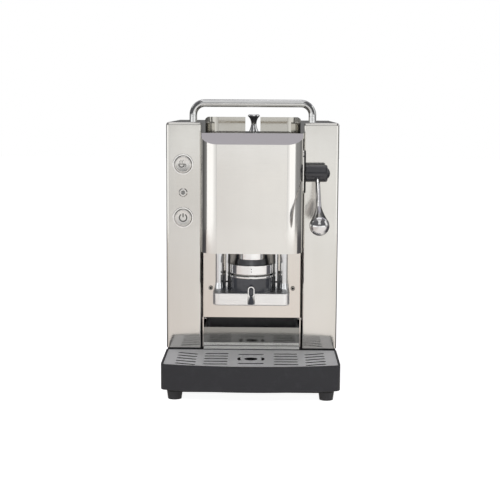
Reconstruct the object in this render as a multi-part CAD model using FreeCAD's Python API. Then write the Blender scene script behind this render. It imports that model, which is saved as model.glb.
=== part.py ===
import FreeCAD, Part
import math
import os

# Pod espresso machine, in millimetres, +Z up, the front facing -Y.
# Piece functions count y from the front faces of the two columns. The finished pieces are
# shifted at the end, so that the origin lies on the table under the middle of the machine.

# Fits and gaps
seat_gap = 0.3
slide_gap = 0.3
fixed_gap = 0.02
shaft_clearance = 0.05
over = 1.0

# Body
body_width = 210.0
body_depth = 203.0
bay_width = 125.0
column_top = 322.0
column_bend = 3.4
column_inner_bend = 1.8
column_flange = 14.0
sheet = 1.2
foot_height = 9.5
foot_top_radius = 9.3
foot_bottom_radius = 8.0
foot_hollow_radius = 3.2
foot_hollow_depth = 4.0
foot_inset = 16.0
front_foot_inset = 13.0
rear_foot_inset = 24.0
base_height = 35.0
base_floor = 3.0
base_wall = 2.5
base_inset = 1.0
base_corner = 4.0

# Recess between the columns
panel_gap = 2.0
panel_setback = 3.0
panel_bend = 1.8
panel_flange = 14.0
slot_height = 11.9
deck_drop = 18.0
deck_lip = 5.4
chute_height = 22.0
chute_hook = 1.5

# Drip tray, grate and used pod bin
tray_inset = 0.3
tray_reach = 102.7
tray_bow = 12.7
tray_corner = 7.0
tray_rear_corner = 4.0
tray_foot_round = 1.2
tray_drop = 1.2
tray_wall = 2.4
tray_floor = 2.2
tray_ledge = 2.2
grate_sheet = 1.5
grate_skirt = 3.5
grate_sink = 0.4
bin_depth = 90.0
bin_wall = 2.0
bin_corner = 3.0
bin_side_gap = 0.8
bin_front_gap = 0.4
bin_front_setback = 0.8
bin_front_height = 26.8
bin_pull_height = 6.4
bin_pull_reach = 2.4
bin_pull_chamfer = 3.0

# Grate pattern
drain_reach = 55.3
drain_radius = 8.0
ring_slot_radius = 14.6
ring_slot_width = 3.6
ring_slot_angle = 62.0
cross_slot_offset = 25.0
cross_slot_length = 31.0
slot_width = 4.6
slot_pitch = 14.6
slot_rows = 5
inner_slot_start = 27.0
inner_slot_length = 29.0
outer_slot_start = 63.5
outer_slot_length = 26.0
outer_slot_slant = 20.0

# Brewing group, from the plinth upwards
group_reach = 28.0
plinth_rise = 25.3
plinth_half = 45.6
plinth_reach = 60.5
plinth_height = 14.4
plinth_corner = 9.0
plinth_edge_round = 1.6
plinth_top_round = 0.6
holder_radius = 25.5
holder_height = 16.1
holder_block_half = 36.0
holder_block_depth = 17.0
holder_block_height = 18.8
holder_block_corner = 8.0
holder_wall_half = 32.5
holder_wall = 2.5
holder_wall_clearance = 2.0
pod_radius = 22.5
pod_depth = 9.4
drain_bore = 2.2
seat_ring_radius = 26.2
seat_ring_height = 3.0
seat_ring_round = 0.9
pod_gap = 1.8
press_ring_radius = 26.2
press_ring_height = 11.3
press_ring_bore = 19.0
press_ring_roof = 3.0
press_ring_round = 0.8
seal_radius = 22.0
seal_wall = 2.6
seal_depth = 5.0
screen_sheet = 0.8
screen_hole = 0.9
screen_ring_radii = (5.0, 10.0, 14.5)
screen_ring_holes = (6, 10, 14)
collar_height = 5.6
collar_radius = 18.0
collar_top_wall = 0.8
piston_radius = 15.5
piston_length = 48.0
water_bore = 2.5
stud_x = 22.2
stud_radius = 4.0
stud_height = 14.5
stud_bevel = 0.8
shelf_clearance = 2.6
guide_rod_x = 39.0
guide_rod_radius = 4.4
rod_foot_radius = 5.3
rod_foot_height = 1.6
rod_flare_height = 7.2
guide_pin_x = 29.4
guide_pin_radius = 1.9
pin_collar_radius = 2.7
pin_collar_height = 1.8
pin_collar_rise = 8.8

# Casting behind the shroud
shelf_thick = 12.0
shelf_side_gap = 6.8
shelf_front_gap = 8.0
shelf_corner = 8.0
casting_back = 6.0
casting_height = 92.0
casting_corner = 6.0
cheek_inner = 16.0
cheek_thick = 6.0
cheek_front_wall = 6.0
cheek_shaft_cover = 14.0
cheek_shoulder = 22.0
bush_wall = 3.0
rack_pad_thick = 5.0
rack_pad_half = 9.0

# Shroud
shroud_side_gap = 2.5
shroud_reach = 60.5
shroud_skirt = 17.1
shroud_rise = 6.0
shroud_slope_drop = 12.7
shroud_slope_depth = 25.0
shroud_corner = 20.0

# Lever, pinion and rack
shaft_rise = 64.1
shaft_radius = 4.0
shaft_end = 3.0
gear_module = 1.0
gear_teeth = 18
gear_face = 12.0
gear_backlash = 0.12
gear_root_factor = 1.25
pressure_angle = 20.0
flank_steps = 4
rack_body = 5.0
rack_teeth = 12
rack_teeth_below = 8
rack_foot = 5.0
rack_foot_reach = 8.0
lever_travel = 95.0
bearing_pad_rise = 1.6
bearing_pad_lip = 0.8
bearing_pad_round = 0.8
bearing_half = 25.4
bearing_radius = 8.0
bearing_lift = 1.9
bearing_thick = 2.0
bearing_bevel = 0.4
hub_radius = 10.3
hub_length = 25.7
hub_end_round = 2.6
hub_cap_length = 3.2
hub_cap_radius = 6.6
hub_bore_depth = 20.4
lever_offset = 13.7
lever_droop = 38.4
lever_length = 89.4
stem_radius = 2.6
stem_low_radius = 3.2
stem_pin_radius = 2.4
knob_radius = 11.35
knob_neck = 29.0
knob_neck_radius = 3.4
knob_hollow = 0.7
knob_bore_depth = 20.0

# Spout
spout_reach = 61.6
spout_rise = 23.1
spout_half = 3.9
spout_socket = 3.0
spout_trim_wall = 1.1
spout_trim_leg = 7.5
spout_trim_depth = 2.6
spout_skirt_height = 9.5
spout_skirt_lift = 2.0
spout_skirt_radius = 4.1
spout_skirt_neck = 1.2
spout_collar = 2.0
spout_lip = 1.2

# Screws
panel_screw_radius = 2.75
panel_screw_head = 1.8
panel_screw_shank = 1.6
panel_screw_length = 8.0
panel_screw_side = 4.9
panel_screw_drop = 3.2
panel_screw_socket = 1.5
panel_screw_socket_depth = 1.0
screw_bevel = 0.7

# Controls on the left column
control_offset = 0.5
brew_z = 271.0
led_z = 236.7
power_z = 206.1
bezel_radius = 12.75
bezel_proud = 1.4
bezel_bevel = 0.7
barrel_radius = 11.3
barrel_length = 14.0
cap_radius = 10.4
cap_gap = 0.35
cap_proud = 2.4
cap_length = 9.5
cap_round = 0.9
button_travel = 1.3
plunger_radius = 3.0
plunger_entry = 2.0
switch_half = 9.0
switch_length = 15.0
terminal_length = 7.0
terminal_half_width = 2.0
terminal_half_thick = 0.4
terminal_spread = 5.0
led_bezel_radius = 5.4
led_barrel_radius = 4.2
led_bezel_proud = 1.0
led_length = 9.0
led_radius = 2.6
led_dome_radius = 4.2

# Handle rail
rail_radius = 4.6
rail_inset = 9.9
rail_y = 10.0
rail_rise = 27.6
rail_bend = 14.0
thread_radius = 3.0
thread_length = 9.0
nut_height = 4.0
nut_width = 10.0

# Cup fence on the deck
fence_side_gap = 3.5
fence_front = 20.0
fence_height = 24.4
fence_corner = 18.0
fence_top_round = 6.0
fence_sheet = 1.5
fence_notch = 9.2
fence_hem = 6.0
fence_flange = 7.0
fence_end = 88.0

# Water tank, lid and knob
tank_side_gap = 13.0
tank_back_gap = 10.0
tank_depth = 97.0
tank_height = 146.0
tank_wall = 2.2
tank_corner = 5.0
tank_rim = 3.2
tank_rim_sheet = 1.2
tank_gap = 1.2
lid_sheet = 1.2
lid_margin = 0.6
lid_skirt = 5.0
lid_skirt_gap = 0.8
lid_skirt_wall = 1.5
lid_knob_height = 23.4
lid_knob_top_radius = 8.0
lid_knob_waist_radius = 3.6
lid_knob_base_radius = 6.3
lid_knob_foot = 1.2
lid_knob_crown = 2.2
lid_screw_radius = 2.0
lid_screw_end = 1.5
outlet_radius = 7.0
outlet_drop = 9.0
outlet_gap = 0.4
seat_cup_wall = 3.5
seat_cup_floor = 2.0
spigot_length = 8.0
spigot_bore = 1.8

# Back panel and power inlet
back_sheet = 1.5
back_margin = 1.0
back_corner = 3.0
vent_count = 11
vent_length = 42.0
vent_width = 3.2
vent_pitch = 8.0
vent_top_drop = 52.0
vent_column_x = 26.0
back_screw_radius = 3.2
back_screw_shank = 1.7
back_screw_head = 1.9
back_screw_length = 6.0
back_screw_inset = 8.0
inlet_x = 34.0
inlet_z = 78.0
inlet_half_width = 12.4
inlet_half_height = 8.6
inlet_depth = 16.0
inlet_wall = 2.4
inlet_flange_half = 25.0
inlet_flange = 1.9
inlet_flange_corner = 6.0
inlet_chamfer = 5.0
inlet_pin_length = 12.0
inlet_pin_half_width = 1.0
inlet_pin_half_height = 2.0
inlet_pin_spread = 7.0
inlet_screw_hole = 1.7

# Boiler, pump and hoses
boiler_radius = 27.0
boiler_height = 66.0
boiler_setback = 40.0
boiler_lift = 7.0
boiler_round = 3.0
boiler_flange = 4.0
boiler_flange_lip = 4.0
boiler_flange_rise = 40.0
boiler_port_radius = 5.0
boiler_port = 3.0
bracket_half = 18.0
bracket_sheet = 2.0
bracket_drop = 30.0
feed_radius = 2.5
feed_bend = 5.0
feed_entry = 8.0
hose_radius = 3.0
hose_bend = 16.0
hose_end_bend = 10.0
hose_side_gap = 8.5
pump_barrel_radius = 10.5
pump_half = 36.0
pump_lift = 29.5
pump_coil_half = 17.0
pump_coil_length = 38.0
pump_elbow = 14.0
pump_elbow_radius = 4.0
mount_thick = 8.0
mount_half = 13.0
mount_cover = 6.0
mount_side_gap = 3.0

# Control board
board_thick = 1.6
board_depth = 70.0
board_setback = 40.0
board_height = 105.0
board_z = 180.0
post_length = 4.3
post_radius = 3.0
post_inset = 5.0
relay_y = 9.0
relay_z = 70.0
relay_side = 22.0
relay_height = 15.0
coil_z = 12.0
coil_side = 35.0
coil_height = 20.0
can_y = 58.0
can_z = 24.0
can_pitch = 20.0
can_count = 3
can_radius = 5.0
can_height = 16.0

# Worked out from the sizes above
base_top = foot_height + base_height
floor_top = foot_height + base_floor
column_bottom = base_top + seat_gap
column_inner = bay_width / 2
panel_half = column_inner - panel_gap
bay_half = column_inner - seat_gap
deck_top = column_top - deck_drop
tray_half = body_width / 2 - tray_inset
tray_top = base_top - tray_drop
tray_bottom = floor_top + slide_gap
grate_top = tray_top - grate_sink
grate_bottom = grate_top - grate_sheet
tunnel_half = panel_half - sheet
bin_half = tunnel_half - bin_side_gap
bin_front_half = tunnel_half - bin_front_gap
bin_front_bottom = tray_top + slide_gap
bin_front_top = bin_front_bottom + bin_front_height
bin_y = bin_front_setback + sheet + seat_gap
tunnel_back = bin_y + bin_depth + base_wall
chute_back = tunnel_back + base_wall
slot_bottom = bin_front_top + slide_gap
slot_top = slot_bottom + slot_height
foot_x = body_width / 2 - foot_inset
front_foot_y = -(tray_reach - tray_bow - front_foot_inset)
rear_foot_y = body_depth - rear_foot_inset

group_y = -group_reach
plinth_bottom = slot_top + plinth_rise
plinth_top = plinth_bottom + plinth_height
holder_top = plinth_top + holder_height
seat_top = holder_top + seat_ring_height
press_bottom = seat_top + pod_gap
press_top = press_bottom + press_ring_height
piston_top = press_top + collar_height + piston_length
pitch_radius = gear_module * gear_teeth / 2
press_travel = pitch_radius * math.radians(lever_travel)
shelf_bottom = press_top + stud_height + press_travel + shelf_clearance
shelf_top = shelf_bottom + shelf_thick
water_z = (shelf_bottom + shelf_top) / 2
shaft_z = shelf_top + shaft_rise
rack_pitch_y = group_y - pitch_radius
rack_root_y = rack_pitch_y - gear_root_factor * gear_module
rack_back_y = rack_root_y - rack_body
rack_pitch = math.pi * gear_module
rack_top = shaft_z + rack_pitch * (rack_teeth - rack_teeth_below) + gear_module

shroud_half = column_inner - shroud_side_gap
shroud_bottom = shelf_bottom - shroud_skirt
shroud_top = deck_top + shroud_rise
shroud_face_top = shroud_top - shroud_slope_drop
shroud_back = panel_setback - seat_gap
shelf_half = shroud_half - sheet - shelf_side_gap
bearing_x = shroud_half + bearing_pad_rise
hub_start = bearing_x + bearing_thick + seat_gap
lever_x = hub_start + lever_offset
spout_y = -spout_reach
spout_top = plinth_bottom + spout_rise
spout_neck_z = spout_top - spout_half
spout_skirt_bottom = plinth_bottom + spout_skirt_lift
spout_skirt_top = spout_skirt_bottom + spout_skirt_height

control_x = -(body_width / 2 + column_inner) / 2 - control_offset
rail_half = column_inner + rail_inset
rail_top = column_top + rail_rise
fence_half = column_inner - fence_side_gap

tank_half = column_inner - tank_side_gap
tank_back = body_depth - tank_back_gap
tank_front = tank_back - tank_depth
tank_y = (tank_front + tank_back) / 2
tank_top = deck_top + seat_gap
tank_bottom = tank_top - tank_height
lid_bottom = tank_top + tank_rim_sheet + seat_gap
lid_top = lid_bottom + lid_sheet
tank_shelf_top = tank_bottom - seat_gap
seat_cup_top = tank_shelf_top - back_sheet
seat_cup_bottom = tank_bottom - outlet_drop - seat_gap - seat_cup_floor
seat_spigot_end = seat_cup_bottom - spigot_length

back_y = body_depth + seat_gap
back_face = back_y + back_sheet
inlet_face = back_face + inlet_flange

boiler_y = boiler_setback
boiler_bottom = shelf_top + boiler_lift
boiler_top = boiler_bottom + boiler_height
boiler_rest = boiler_bottom + boiler_flange_rise
pump_y = (chute_back + body_depth) / 2
pump_z = floor_top + pump_lift
board_x = -column_inner - sheet - post_length

knob_front = group_y - lever_length * math.cos(math.radians(lever_droop)) - knob_radius
front_y = -(knob_front + inlet_face) / 2

X = FreeCAD.Vector(1, 0, 0)
Y = FreeCAD.Vector(0, 1, 0)
Z = FreeCAD.Vector(0, 0, 1)
ORIGIN = FreeCAD.Vector(0, 0, 0)


def vec(x, y, z):
    return FreeCAD.Vector(x, y, z)


def block(x0, x1, y0, y1, z0, z1):
    return Part.makeBox(x1 - x0, y1 - y0, z1 - z0, vec(x0, y0, z0))


def rod(start, direction, radius, length):
    return Part.makeCylinder(radius, length, start, direction)


def tube(start, direction, outer, inner, length):
    return rod(start, direction, outer, length).cut(rod(start, direction, inner, length))


def fuse_all(solids):
    return solids[0].multiFuse(solids[1:]).removeSplitter()


def straight_edges(solid, direction, wanted):
    """Straight edges along a direction whose middle point is wanted."""
    found = []
    for edge in solid.Edges:
        if edge.Curve.TypeId == "Part::GeomLine":
            along = abs(edge.Curve.Direction.dot(direction)) > 1 - 1e-6
            if along and wanted(edge.CenterOfMass):
                found.append(edge)
    return found


def round_edges(solid, wanted):
    """Circular edges whose middle point is wanted."""
    circles = [e for e in solid.Edges if e.Curve.TypeId == "Part::GeomCircle"]
    return [e for e in circles if wanted(e.CenterOfMass)]


def round_block(x0, x1, y0, y1, z0, z1, radius):
    """A block whose four upright edges are rounded."""
    solid = block(x0, x1, y0, y1, z0, z1)
    return solid.makeFillet(radius, straight_edges(solid, Z, lambda p: True))


def front_round_block(x0, x1, y0, y1, z0, z1, radius):
    """A block whose two upright edges in front are rounded."""
    solid = block(x0, x1, y0, y1, z0, z1)
    return solid.makeFillet(radius, straight_edges(solid, Z, lambda p: p.y < y0 + over / 2))


def prism(points, run):
    """A closed outline pushed along run."""
    wire = Part.makePolygon(points + [points[0]])
    return Part.Face(wire).extrude(run)


def slab(points, half):
    """An outline in the YZ plane, pushed out to both sides of the middle."""
    return prism([p - X * half for p in points], X * (2 * half))


def mirrored(solid):
    return solid.mirror(ORIGIN, X)


def both_sides(solid):
    return Part.makeCompound([solid, mirrored(solid)])


# The base, its feet and the columns

def make_base_pan():
    half = body_width / 2 - base_inset
    front = base_inset
    back = body_depth - base_inset
    top = base_top + over
    pan = round_block(-half, half, front, back, foot_height, base_top, base_corner)
    shelf_half_width = foot_x + foot_top_radius
    shelf_front = front_foot_y - foot_top_radius
    shelf = front_round_block(-shelf_half_width, shelf_half_width, shelf_front, front + base_wall,
                              foot_height, floor_top, foot_top_radius - over)
    side = block(tunnel_half + base_wall, half - base_wall, front + base_wall, back - base_wall,
                 floor_top, top)
    rear = block(-half + base_wall, half - base_wall, chute_back, back - base_wall, floor_top, top)
    tunnel = block(-tunnel_half, tunnel_half, front - over, tunnel_back, floor_top, top)
    return pan.fuse(shelf).cut([side, mirrored(side), rear, tunnel]).removeSplitter()


def make_feet():
    feet = []
    for y in (front_foot_y, rear_foot_y):
        for x in (-foot_x, foot_x):
            foot = Part.makeCone(foot_bottom_radius, foot_top_radius, foot_height, vec(x, y, 0))
            hollow = rod(vec(x, y, -over), Z, foot_hollow_radius, foot_hollow_depth + over)
            feet.append(foot.cut(hollow))
    return Part.makeCompound(feet)


def column_form(inset, back):
    """The right-hand column, drawn in by inset, with its bent front and top edges."""
    x0, x1 = column_inner + inset, body_width / 2 - inset
    top = column_top - inset
    bottom = column_bottom - (over if inset else 0)
    form = block(x0, x1, inset, back, bottom, top)
    middle = (x0 + x1) / 2
    bends = straight_edges(form, Z, lambda p: p.y < inset + over and p.x > middle)
    bends += straight_edges(form, X, lambda p: p.y < inset + over and p.z > top - over)
    bends += straight_edges(form, Y, lambda p: p.z > top - over and p.x > middle)
    form = form.makeFillet(column_bend - inset, bends)
    inner = [e for e in form.Edges if e.BoundBox.XMax < x0 + fixed_gap
             and (e.BoundBox.YMax < inset + column_bend or e.BoundBox.ZMin > top - column_bend)]
    return form.makeFillet(column_inner_bend - inset, inner)


def make_column():
    """Folded cover, open below and behind, with a flange down its outer rear edge."""
    shell = column_form(0, body_depth).cut(column_form(sheet, body_depth + over))
    inside = body_width / 2 - sheet
    flange = block(inside - column_flange, inside + sheet / 2, body_depth - sheet, body_depth,
                   column_bottom, column_top - column_bend)
    holes = [rod(vec(rail_half, rail_y, column_top - 2 * sheet), Z, thread_radius + shaft_clearance,
                 3 * sheet)]
    for x, z in back_screw_places():
        holes.append(rod(vec(x, body_depth - 2 * sheet, z), Y, back_screw_shank + shaft_clearance,
                         3 * sheet))
    return fuse_all([shell, flange]).cut(holes)


def make_right_cover():
    return make_column()


def make_left_cover():
    cover = mirrored(make_column())
    holes = [(brew_z, barrel_radius), (power_z, barrel_radius), (led_z, led_barrel_radius)]
    for z, radius in holes:
        cover = cover.cut(rod(vec(control_x, -over, z), Y, radius + shaft_clearance,
                              sheet + 2 * over))
    return cover


def make_recess_panel():
    """Face between the columns, with side flanges that stand on the base."""
    back = panel_setback + panel_flange
    top = deck_top - sheet - fixed_gap
    shell = front_round_block(-panel_half, panel_half, panel_setback, back, column_bottom, top,
                              panel_bend)
    inside = front_round_block(-panel_half + sheet, panel_half - sheet, panel_setback + sheet,
                               back + over, column_bottom - over, top + over, panel_bend - sheet)
    mouth = block(-panel_half - over, panel_half + over, panel_setback - over,
                  panel_setback + panel_bend, column_bottom - over, slot_top)
    feed_hole = rod(vec(0, panel_setback - over, water_z), Y, feed_radius + slide_gap,
                    sheet + 2 * over)
    screws = [rod(vec(x, panel_setback - over, panel_screw_z()), Y,
                  panel_screw_shank + shaft_clearance, sheet + 2 * over)
              for x in panel_screw_places()]
    return shell.cut([inside, mouth, feed_hole] + screws)


def make_pod_chute():
    """Bent sheet that closes the space over the used pod bin."""
    half = tunnel_half - panel_bend + sheet
    front = panel_setback + sheet
    top = slot_top + chute_height
    roof = block(-half, half, front, chute_back, top - sheet, top)
    rear = block(-half, half, chute_back - sheet, chute_back, column_bottom, top)
    hook = block(-half, half, front, front + sheet, slot_top + chute_hook, top)
    return fuse_all([roof, rear, hook])


def make_top_deck():
    lip_y = shroud_back - sheet
    deck = block(-bay_half, bay_half, lip_y, body_depth, deck_top - sheet, deck_top)
    hole = round_block(-tank_half - tank_gap, tank_half + tank_gap, tank_front - tank_gap,
                       tank_back + tank_gap, deck_top - 2 * sheet, deck_top + sheet,
                       tank_corner + tank_gap)
    lip = block(-bay_half, bay_half, lip_y, lip_y + sheet, deck_top, deck_top + deck_lip)
    return fuse_all([deck.cut(hole), lip])


# Back panel and power inlet

def back_screw_places():
    """Places of the screws on the right-hand side."""
    x = body_width / 2 - sheet - back_screw_inset
    low = column_bottom + back_screw_inset
    high = column_top - 2 * back_screw_inset
    return [(x, z) for z in (low, (low + high) / 2, high)]


def vent_slot(x, z):
    half = (vent_length - vent_width) / 2
    middle = block(x - half, x + half, back_y - over, back_face + over, z - vent_width / 2,
                   z + vent_width / 2)
    ends = [rod(vec(x + side * half, back_y - over, z), Y, vent_width / 2, back_sheet + 2 * over)
            for side in (-1, 1)]
    return middle.multiFuse(ends)


def make_back_panel():
    half = body_width / 2 - back_margin
    panel = block(-half, half, back_y, back_face, column_bottom, column_top - back_margin)
    panel = panel.makeFillet(back_corner, straight_edges(panel, Y, lambda p: p.z > deck_top))
    cuts = [block(-column_inner, column_inner, back_y - over, back_face + over, deck_top,
                  column_top + over)]
    for row in range(vent_count):
        z = column_top - vent_top_drop - row * vent_pitch
        cuts += [vent_slot(side * vent_column_x, z) for side in (-1, 1)]
    for x, z in back_screw_places():
        hole = rod(vec(x, back_y - over, z), Y, back_screw_shank + shaft_clearance,
                   back_sheet + 2 * over)
        cuts += [hole, mirrored(hole)]
    cuts.append(inlet_body(back_y - over, back_face + over, fixed_gap))
    return panel.cut(cuts)


def make_panel_screws():
    """Six at the back, and the two beside the plinth in front."""
    screws = []
    for x, z in back_screw_places():
        shank = rod(vec(x, back_face - back_screw_length, z), Y, back_screw_shank,
                    back_screw_length)
        head = rod(vec(x, back_face, z), Y, back_screw_radius, back_screw_head)
        rim = round_edges(head, lambda p: p.y > back_face + over)
        screw = fuse_all([shank, head.makeChamfer(screw_bevel, rim)])
        screws += [screw, mirrored(screw)]
    front = panel_setback - panel_screw_head
    for x in panel_screw_places():
        z = panel_screw_z()
        shank = rod(vec(x, panel_setback, z), Y, panel_screw_shank, panel_screw_length)
        head = rod(vec(x, front, z), Y, panel_screw_radius, panel_screw_head)
        head = head.makeChamfer(screw_bevel, round_edges(head, lambda p: p.y < front + 0.1))
        socket = prism(hexagon(x, front, z, panel_screw_socket), Y * panel_screw_socket_depth)
        screws.append(fuse_all([shank, head]).cut(socket))
    return Part.makeCompound(screws)


def hexagon(x, y, z, radius):
    """Corners of an upright hexagon that faces forward."""
    turns = [math.radians(60 * step) for step in range(6)]
    return [vec(x + radius * math.cos(t), y, z + radius * math.sin(t)) for t in turns]


def panel_screw_places():
    x = plinth_half + panel_screw_side
    return (-x, x)


def panel_screw_z():
    return plinth_top - panel_screw_drop


def inlet_body(y0, y1, margin):
    half_width = inlet_half_width + inlet_wall + margin
    half_height = inlet_half_height + inlet_wall + margin
    return block(inlet_x - half_width, inlet_x + half_width, y0, y1, inlet_z - half_height,
                 inlet_z + half_height)


def make_power_inlet():
    """Socket with three pins, its two upper corners cut off, and a flange with screw ears."""
    floor = inlet_face - inlet_depth
    shell = inlet_body(floor - inlet_wall, inlet_face, 0)
    flange = block(inlet_x - inlet_flange_half, inlet_x + inlet_flange_half, back_face, inlet_face,
                   inlet_z - inlet_half_height - inlet_wall, inlet_z + inlet_half_height + inlet_wall)
    flange = flange.makeFillet(inlet_flange_corner, straight_edges(flange, Y, lambda p: True))
    left, right = inlet_x - inlet_half_width, inlet_x + inlet_half_width
    low, high = inlet_z - inlet_half_height, inlet_z + inlet_half_height
    outline = [vec(left, floor, low), vec(right, floor, low),
               vec(right, floor, high - inlet_chamfer), vec(right - inlet_chamfer, floor, high),
               vec(left + inlet_chamfer, floor, high), vec(left, floor, high - inlet_chamfer)]
    cuts = [prism(outline, Y * (inlet_depth + over))]
    for side in (-1, 1):
        x = inlet_x + side * (inlet_flange_half - inlet_flange_corner)
        cuts.append(rod(vec(x, back_face - over, inlet_z), Y, inlet_screw_hole,
                        inlet_flange + 2 * over))
    pins = []
    for column, row in ((-1, -1), (0, 1), (1, -1)):
        x = inlet_x + column * inlet_pin_spread
        z = inlet_z + row * inlet_pin_half_height
        pins.append(block(x - inlet_pin_half_width, x + inlet_pin_half_width, floor - over,
                          floor + inlet_pin_length, z - inlet_pin_half_height,
                          z + inlet_pin_half_height))
    return fuse_all([fuse_all([shell, flange]).cut(cuts)] + pins)


# Drip tray, grate and used pod bin

def tray_form(inset, z0, z1, front_corner, rear_corner):
    """The tray's plan, drawn in by inset: straight sides and a bowed front."""
    half = tray_half
    bow_radius = (half ** 2 + tray_bow ** 2) / (2 * tray_bow)
    bow_centre = -tray_reach + bow_radius
    half -= inset
    bow_radius -= inset
    corner_y = bow_centre - math.sqrt(bow_radius ** 2 - half ** 2)
    rear = -2 * slide_gap - inset
    corners = [vec(-half, rear, z0), vec(half, rear, z0), vec(half, corner_y, z0),
               vec(-half, corner_y, z0)]
    bow = Part.Arc(corners[2], vec(0, bow_centre - bow_radius, z0), corners[3])
    outline = Part.Wire([Part.makeLine(corners[0], corners[1]), Part.makeLine(corners[1], corners[2]),
                         bow.toShape(), Part.makeLine(corners[3], corners[0])])
    form = Part.Face(outline).extrude(Z * (z1 - z0))
    form = form.makeFillet(front_corner, straight_edges(form, Z, lambda p: p.y < corner_y + over))
    return form.makeFillet(rear_corner, straight_edges(form, Z, lambda p: p.y > rear - over))


def make_drip_tray():
    body = tray_form(0, tray_bottom, tray_top, tray_corner, tray_rear_corner)
    rear = -2 * slide_gap
    foot_rim = [e for e in body.Edges if e.CenterOfMass.z < tray_bottom + 0.1
                and e.CenterOfMass.y < rear - over / 2]
    body = body.makeFillet(tray_foot_round, foot_rim)
    seat = tray_form(tray_wall, grate_bottom, tray_top + over, tray_corner - tray_wall,
                     tray_rear_corner - tray_wall)
    ledge = tray_wall + tray_ledge
    basin = tray_form(ledge, tray_bottom + tray_floor, tray_top, tray_corner - ledge, over)
    half = bin_half - bin_wall
    tongue = block(-half, half, rear - tray_wall, bin_y + bin_depth - bin_wall, tray_bottom,
                   tray_bottom + tray_floor)
    return body.cut([seat, basin]).fuse(tongue).removeSplitter()


def grate_slot(x, y, length, turn):
    """A round-ended slot through the grate, turned about its centre."""
    half, side = (length - slot_width) / 2, slot_width / 2
    start = grate_bottom - over
    ends = [vec(-half, -side, 0), vec(half, -side, 0), vec(half, side, 0), vec(-half, side, 0)]
    right = Part.Arc(ends[1], vec(half + side, 0, 0), ends[2]).toShape()
    left = Part.Arc(ends[3], vec(-half - side, 0, 0), ends[0]).toShape()
    outline = Part.Wire([Part.makeLine(ends[0], ends[1]), right, Part.makeLine(ends[2], ends[3]),
                         left])
    slot = Part.Face(outline).extrude(Z * (grate_sheet + 2 * over))
    slot.rotate(ORIGIN, Z, turn)
    slot.translate(vec(x, y, start))
    return slot


def ring_slot():
    """Part of a ring to the right of the drain hole."""
    start = vec(0, 0, grate_bottom - over)
    depth = grate_sheet + 2 * over
    outer = ring_slot_radius + ring_slot_width / 2
    sector = Part.makeCylinder(outer, depth, start, Z, ring_slot_angle)
    sector = sector.cut(rod(start, Z, outer - ring_slot_width, depth))
    sector.rotate(ORIGIN, Z, -ring_slot_angle / 2)
    sector.translate(vec(0, -drain_reach, 0))
    return sector


def make_grate():
    """Pressed plate with a skirt: a drain hole, and blocks of slots mirrored about it."""
    inset = tray_wall + slide_gap
    plate = tray_form(inset, grate_bottom, grate_top, tray_corner - inset, tray_rear_corner - inset)
    skirt_inset = inset + tray_ledge + slide_gap
    skirt_bottom = grate_top - grate_skirt
    skirt = tray_form(skirt_inset, skirt_bottom, grate_bottom + over / 2, tray_corner - skirt_inset,
                      over)
    hollow = tray_form(skirt_inset + sheet, skirt_bottom - over, grate_bottom, over / 2, over / 2)
    cuts = [rod(vec(0, -drain_reach, grate_bottom - over), Z, drain_radius, grate_sheet + 2 * over)]
    cuts += [ring_slot(), mirrored(ring_slot())]
    for side in (-1, 1):
        cuts.append(grate_slot(0, -drain_reach + side * cross_slot_offset, cross_slot_length, 0))
        for row in range(slot_rows):
            y = -drain_reach + (row - (slot_rows - 1) / 2) * slot_pitch
            inner = side * (inner_slot_start + inner_slot_length / 2)
            outer = side * (outer_slot_start + outer_slot_length / 2)
            cuts.append(grate_slot(inner, y, inner_slot_length, 0))
            cuts.append(grate_slot(outer, y, outer_slot_length, side * outer_slot_slant))
    return plate.fuse(skirt.cut(hollow)).cut(cuts).removeSplitter()


def make_pod_bin():
    bottom = tray_bottom + tray_floor
    top = bin_front_top - sheet
    outer = round_block(-bin_half, bin_half, bin_y, bin_y + bin_depth, bottom, top, bin_corner)
    inner = round_block(-bin_half + bin_wall, bin_half - bin_wall, bin_y + bin_wall,
                        bin_y + bin_depth - bin_wall, bottom + bin_wall, top + over,
                        bin_corner - bin_wall)
    return outer.cut(inner)


def make_bin_front():
    """Polished front, hooked over the bin's wall, with a channel below to pull it by."""
    y0, y1 = bin_front_setback, bin_front_setback + sheet
    pull_y = y0 - bin_pull_reach
    low, high = bin_front_bottom, bin_front_top
    pull_top = low + bin_pull_height
    side = [vec(0, pull_y, low), vec(0, y1, low), vec(0, y1, high - sheet),
            vec(0, bin_y + bin_wall, high - sheet), vec(0, bin_y + bin_wall, high),
            vec(0, y0, high), vec(0, y0, pull_top), vec(0, pull_y, pull_top),
            vec(0, pull_y, pull_top - sheet), vec(0, y0, pull_top - sheet),
            vec(0, y0, low + sheet), vec(0, pull_y, low + sheet)]
    front = slab(side, bin_front_half)
    reach = bin_front_half + over
    corner = bin_front_half - bin_pull_chamfer
    cut = [vec(corner, pull_y - over, pull_top - sheet), vec(reach, pull_y - over, pull_top - sheet),
           vec(reach, pull_y - over, pull_top + bin_pull_chamfer)]
    notch = prism(cut, Y * (bin_pull_reach + over))
    return front.cut([notch, mirrored(notch)])


# Plinth, rods, pod holder and spout

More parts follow.
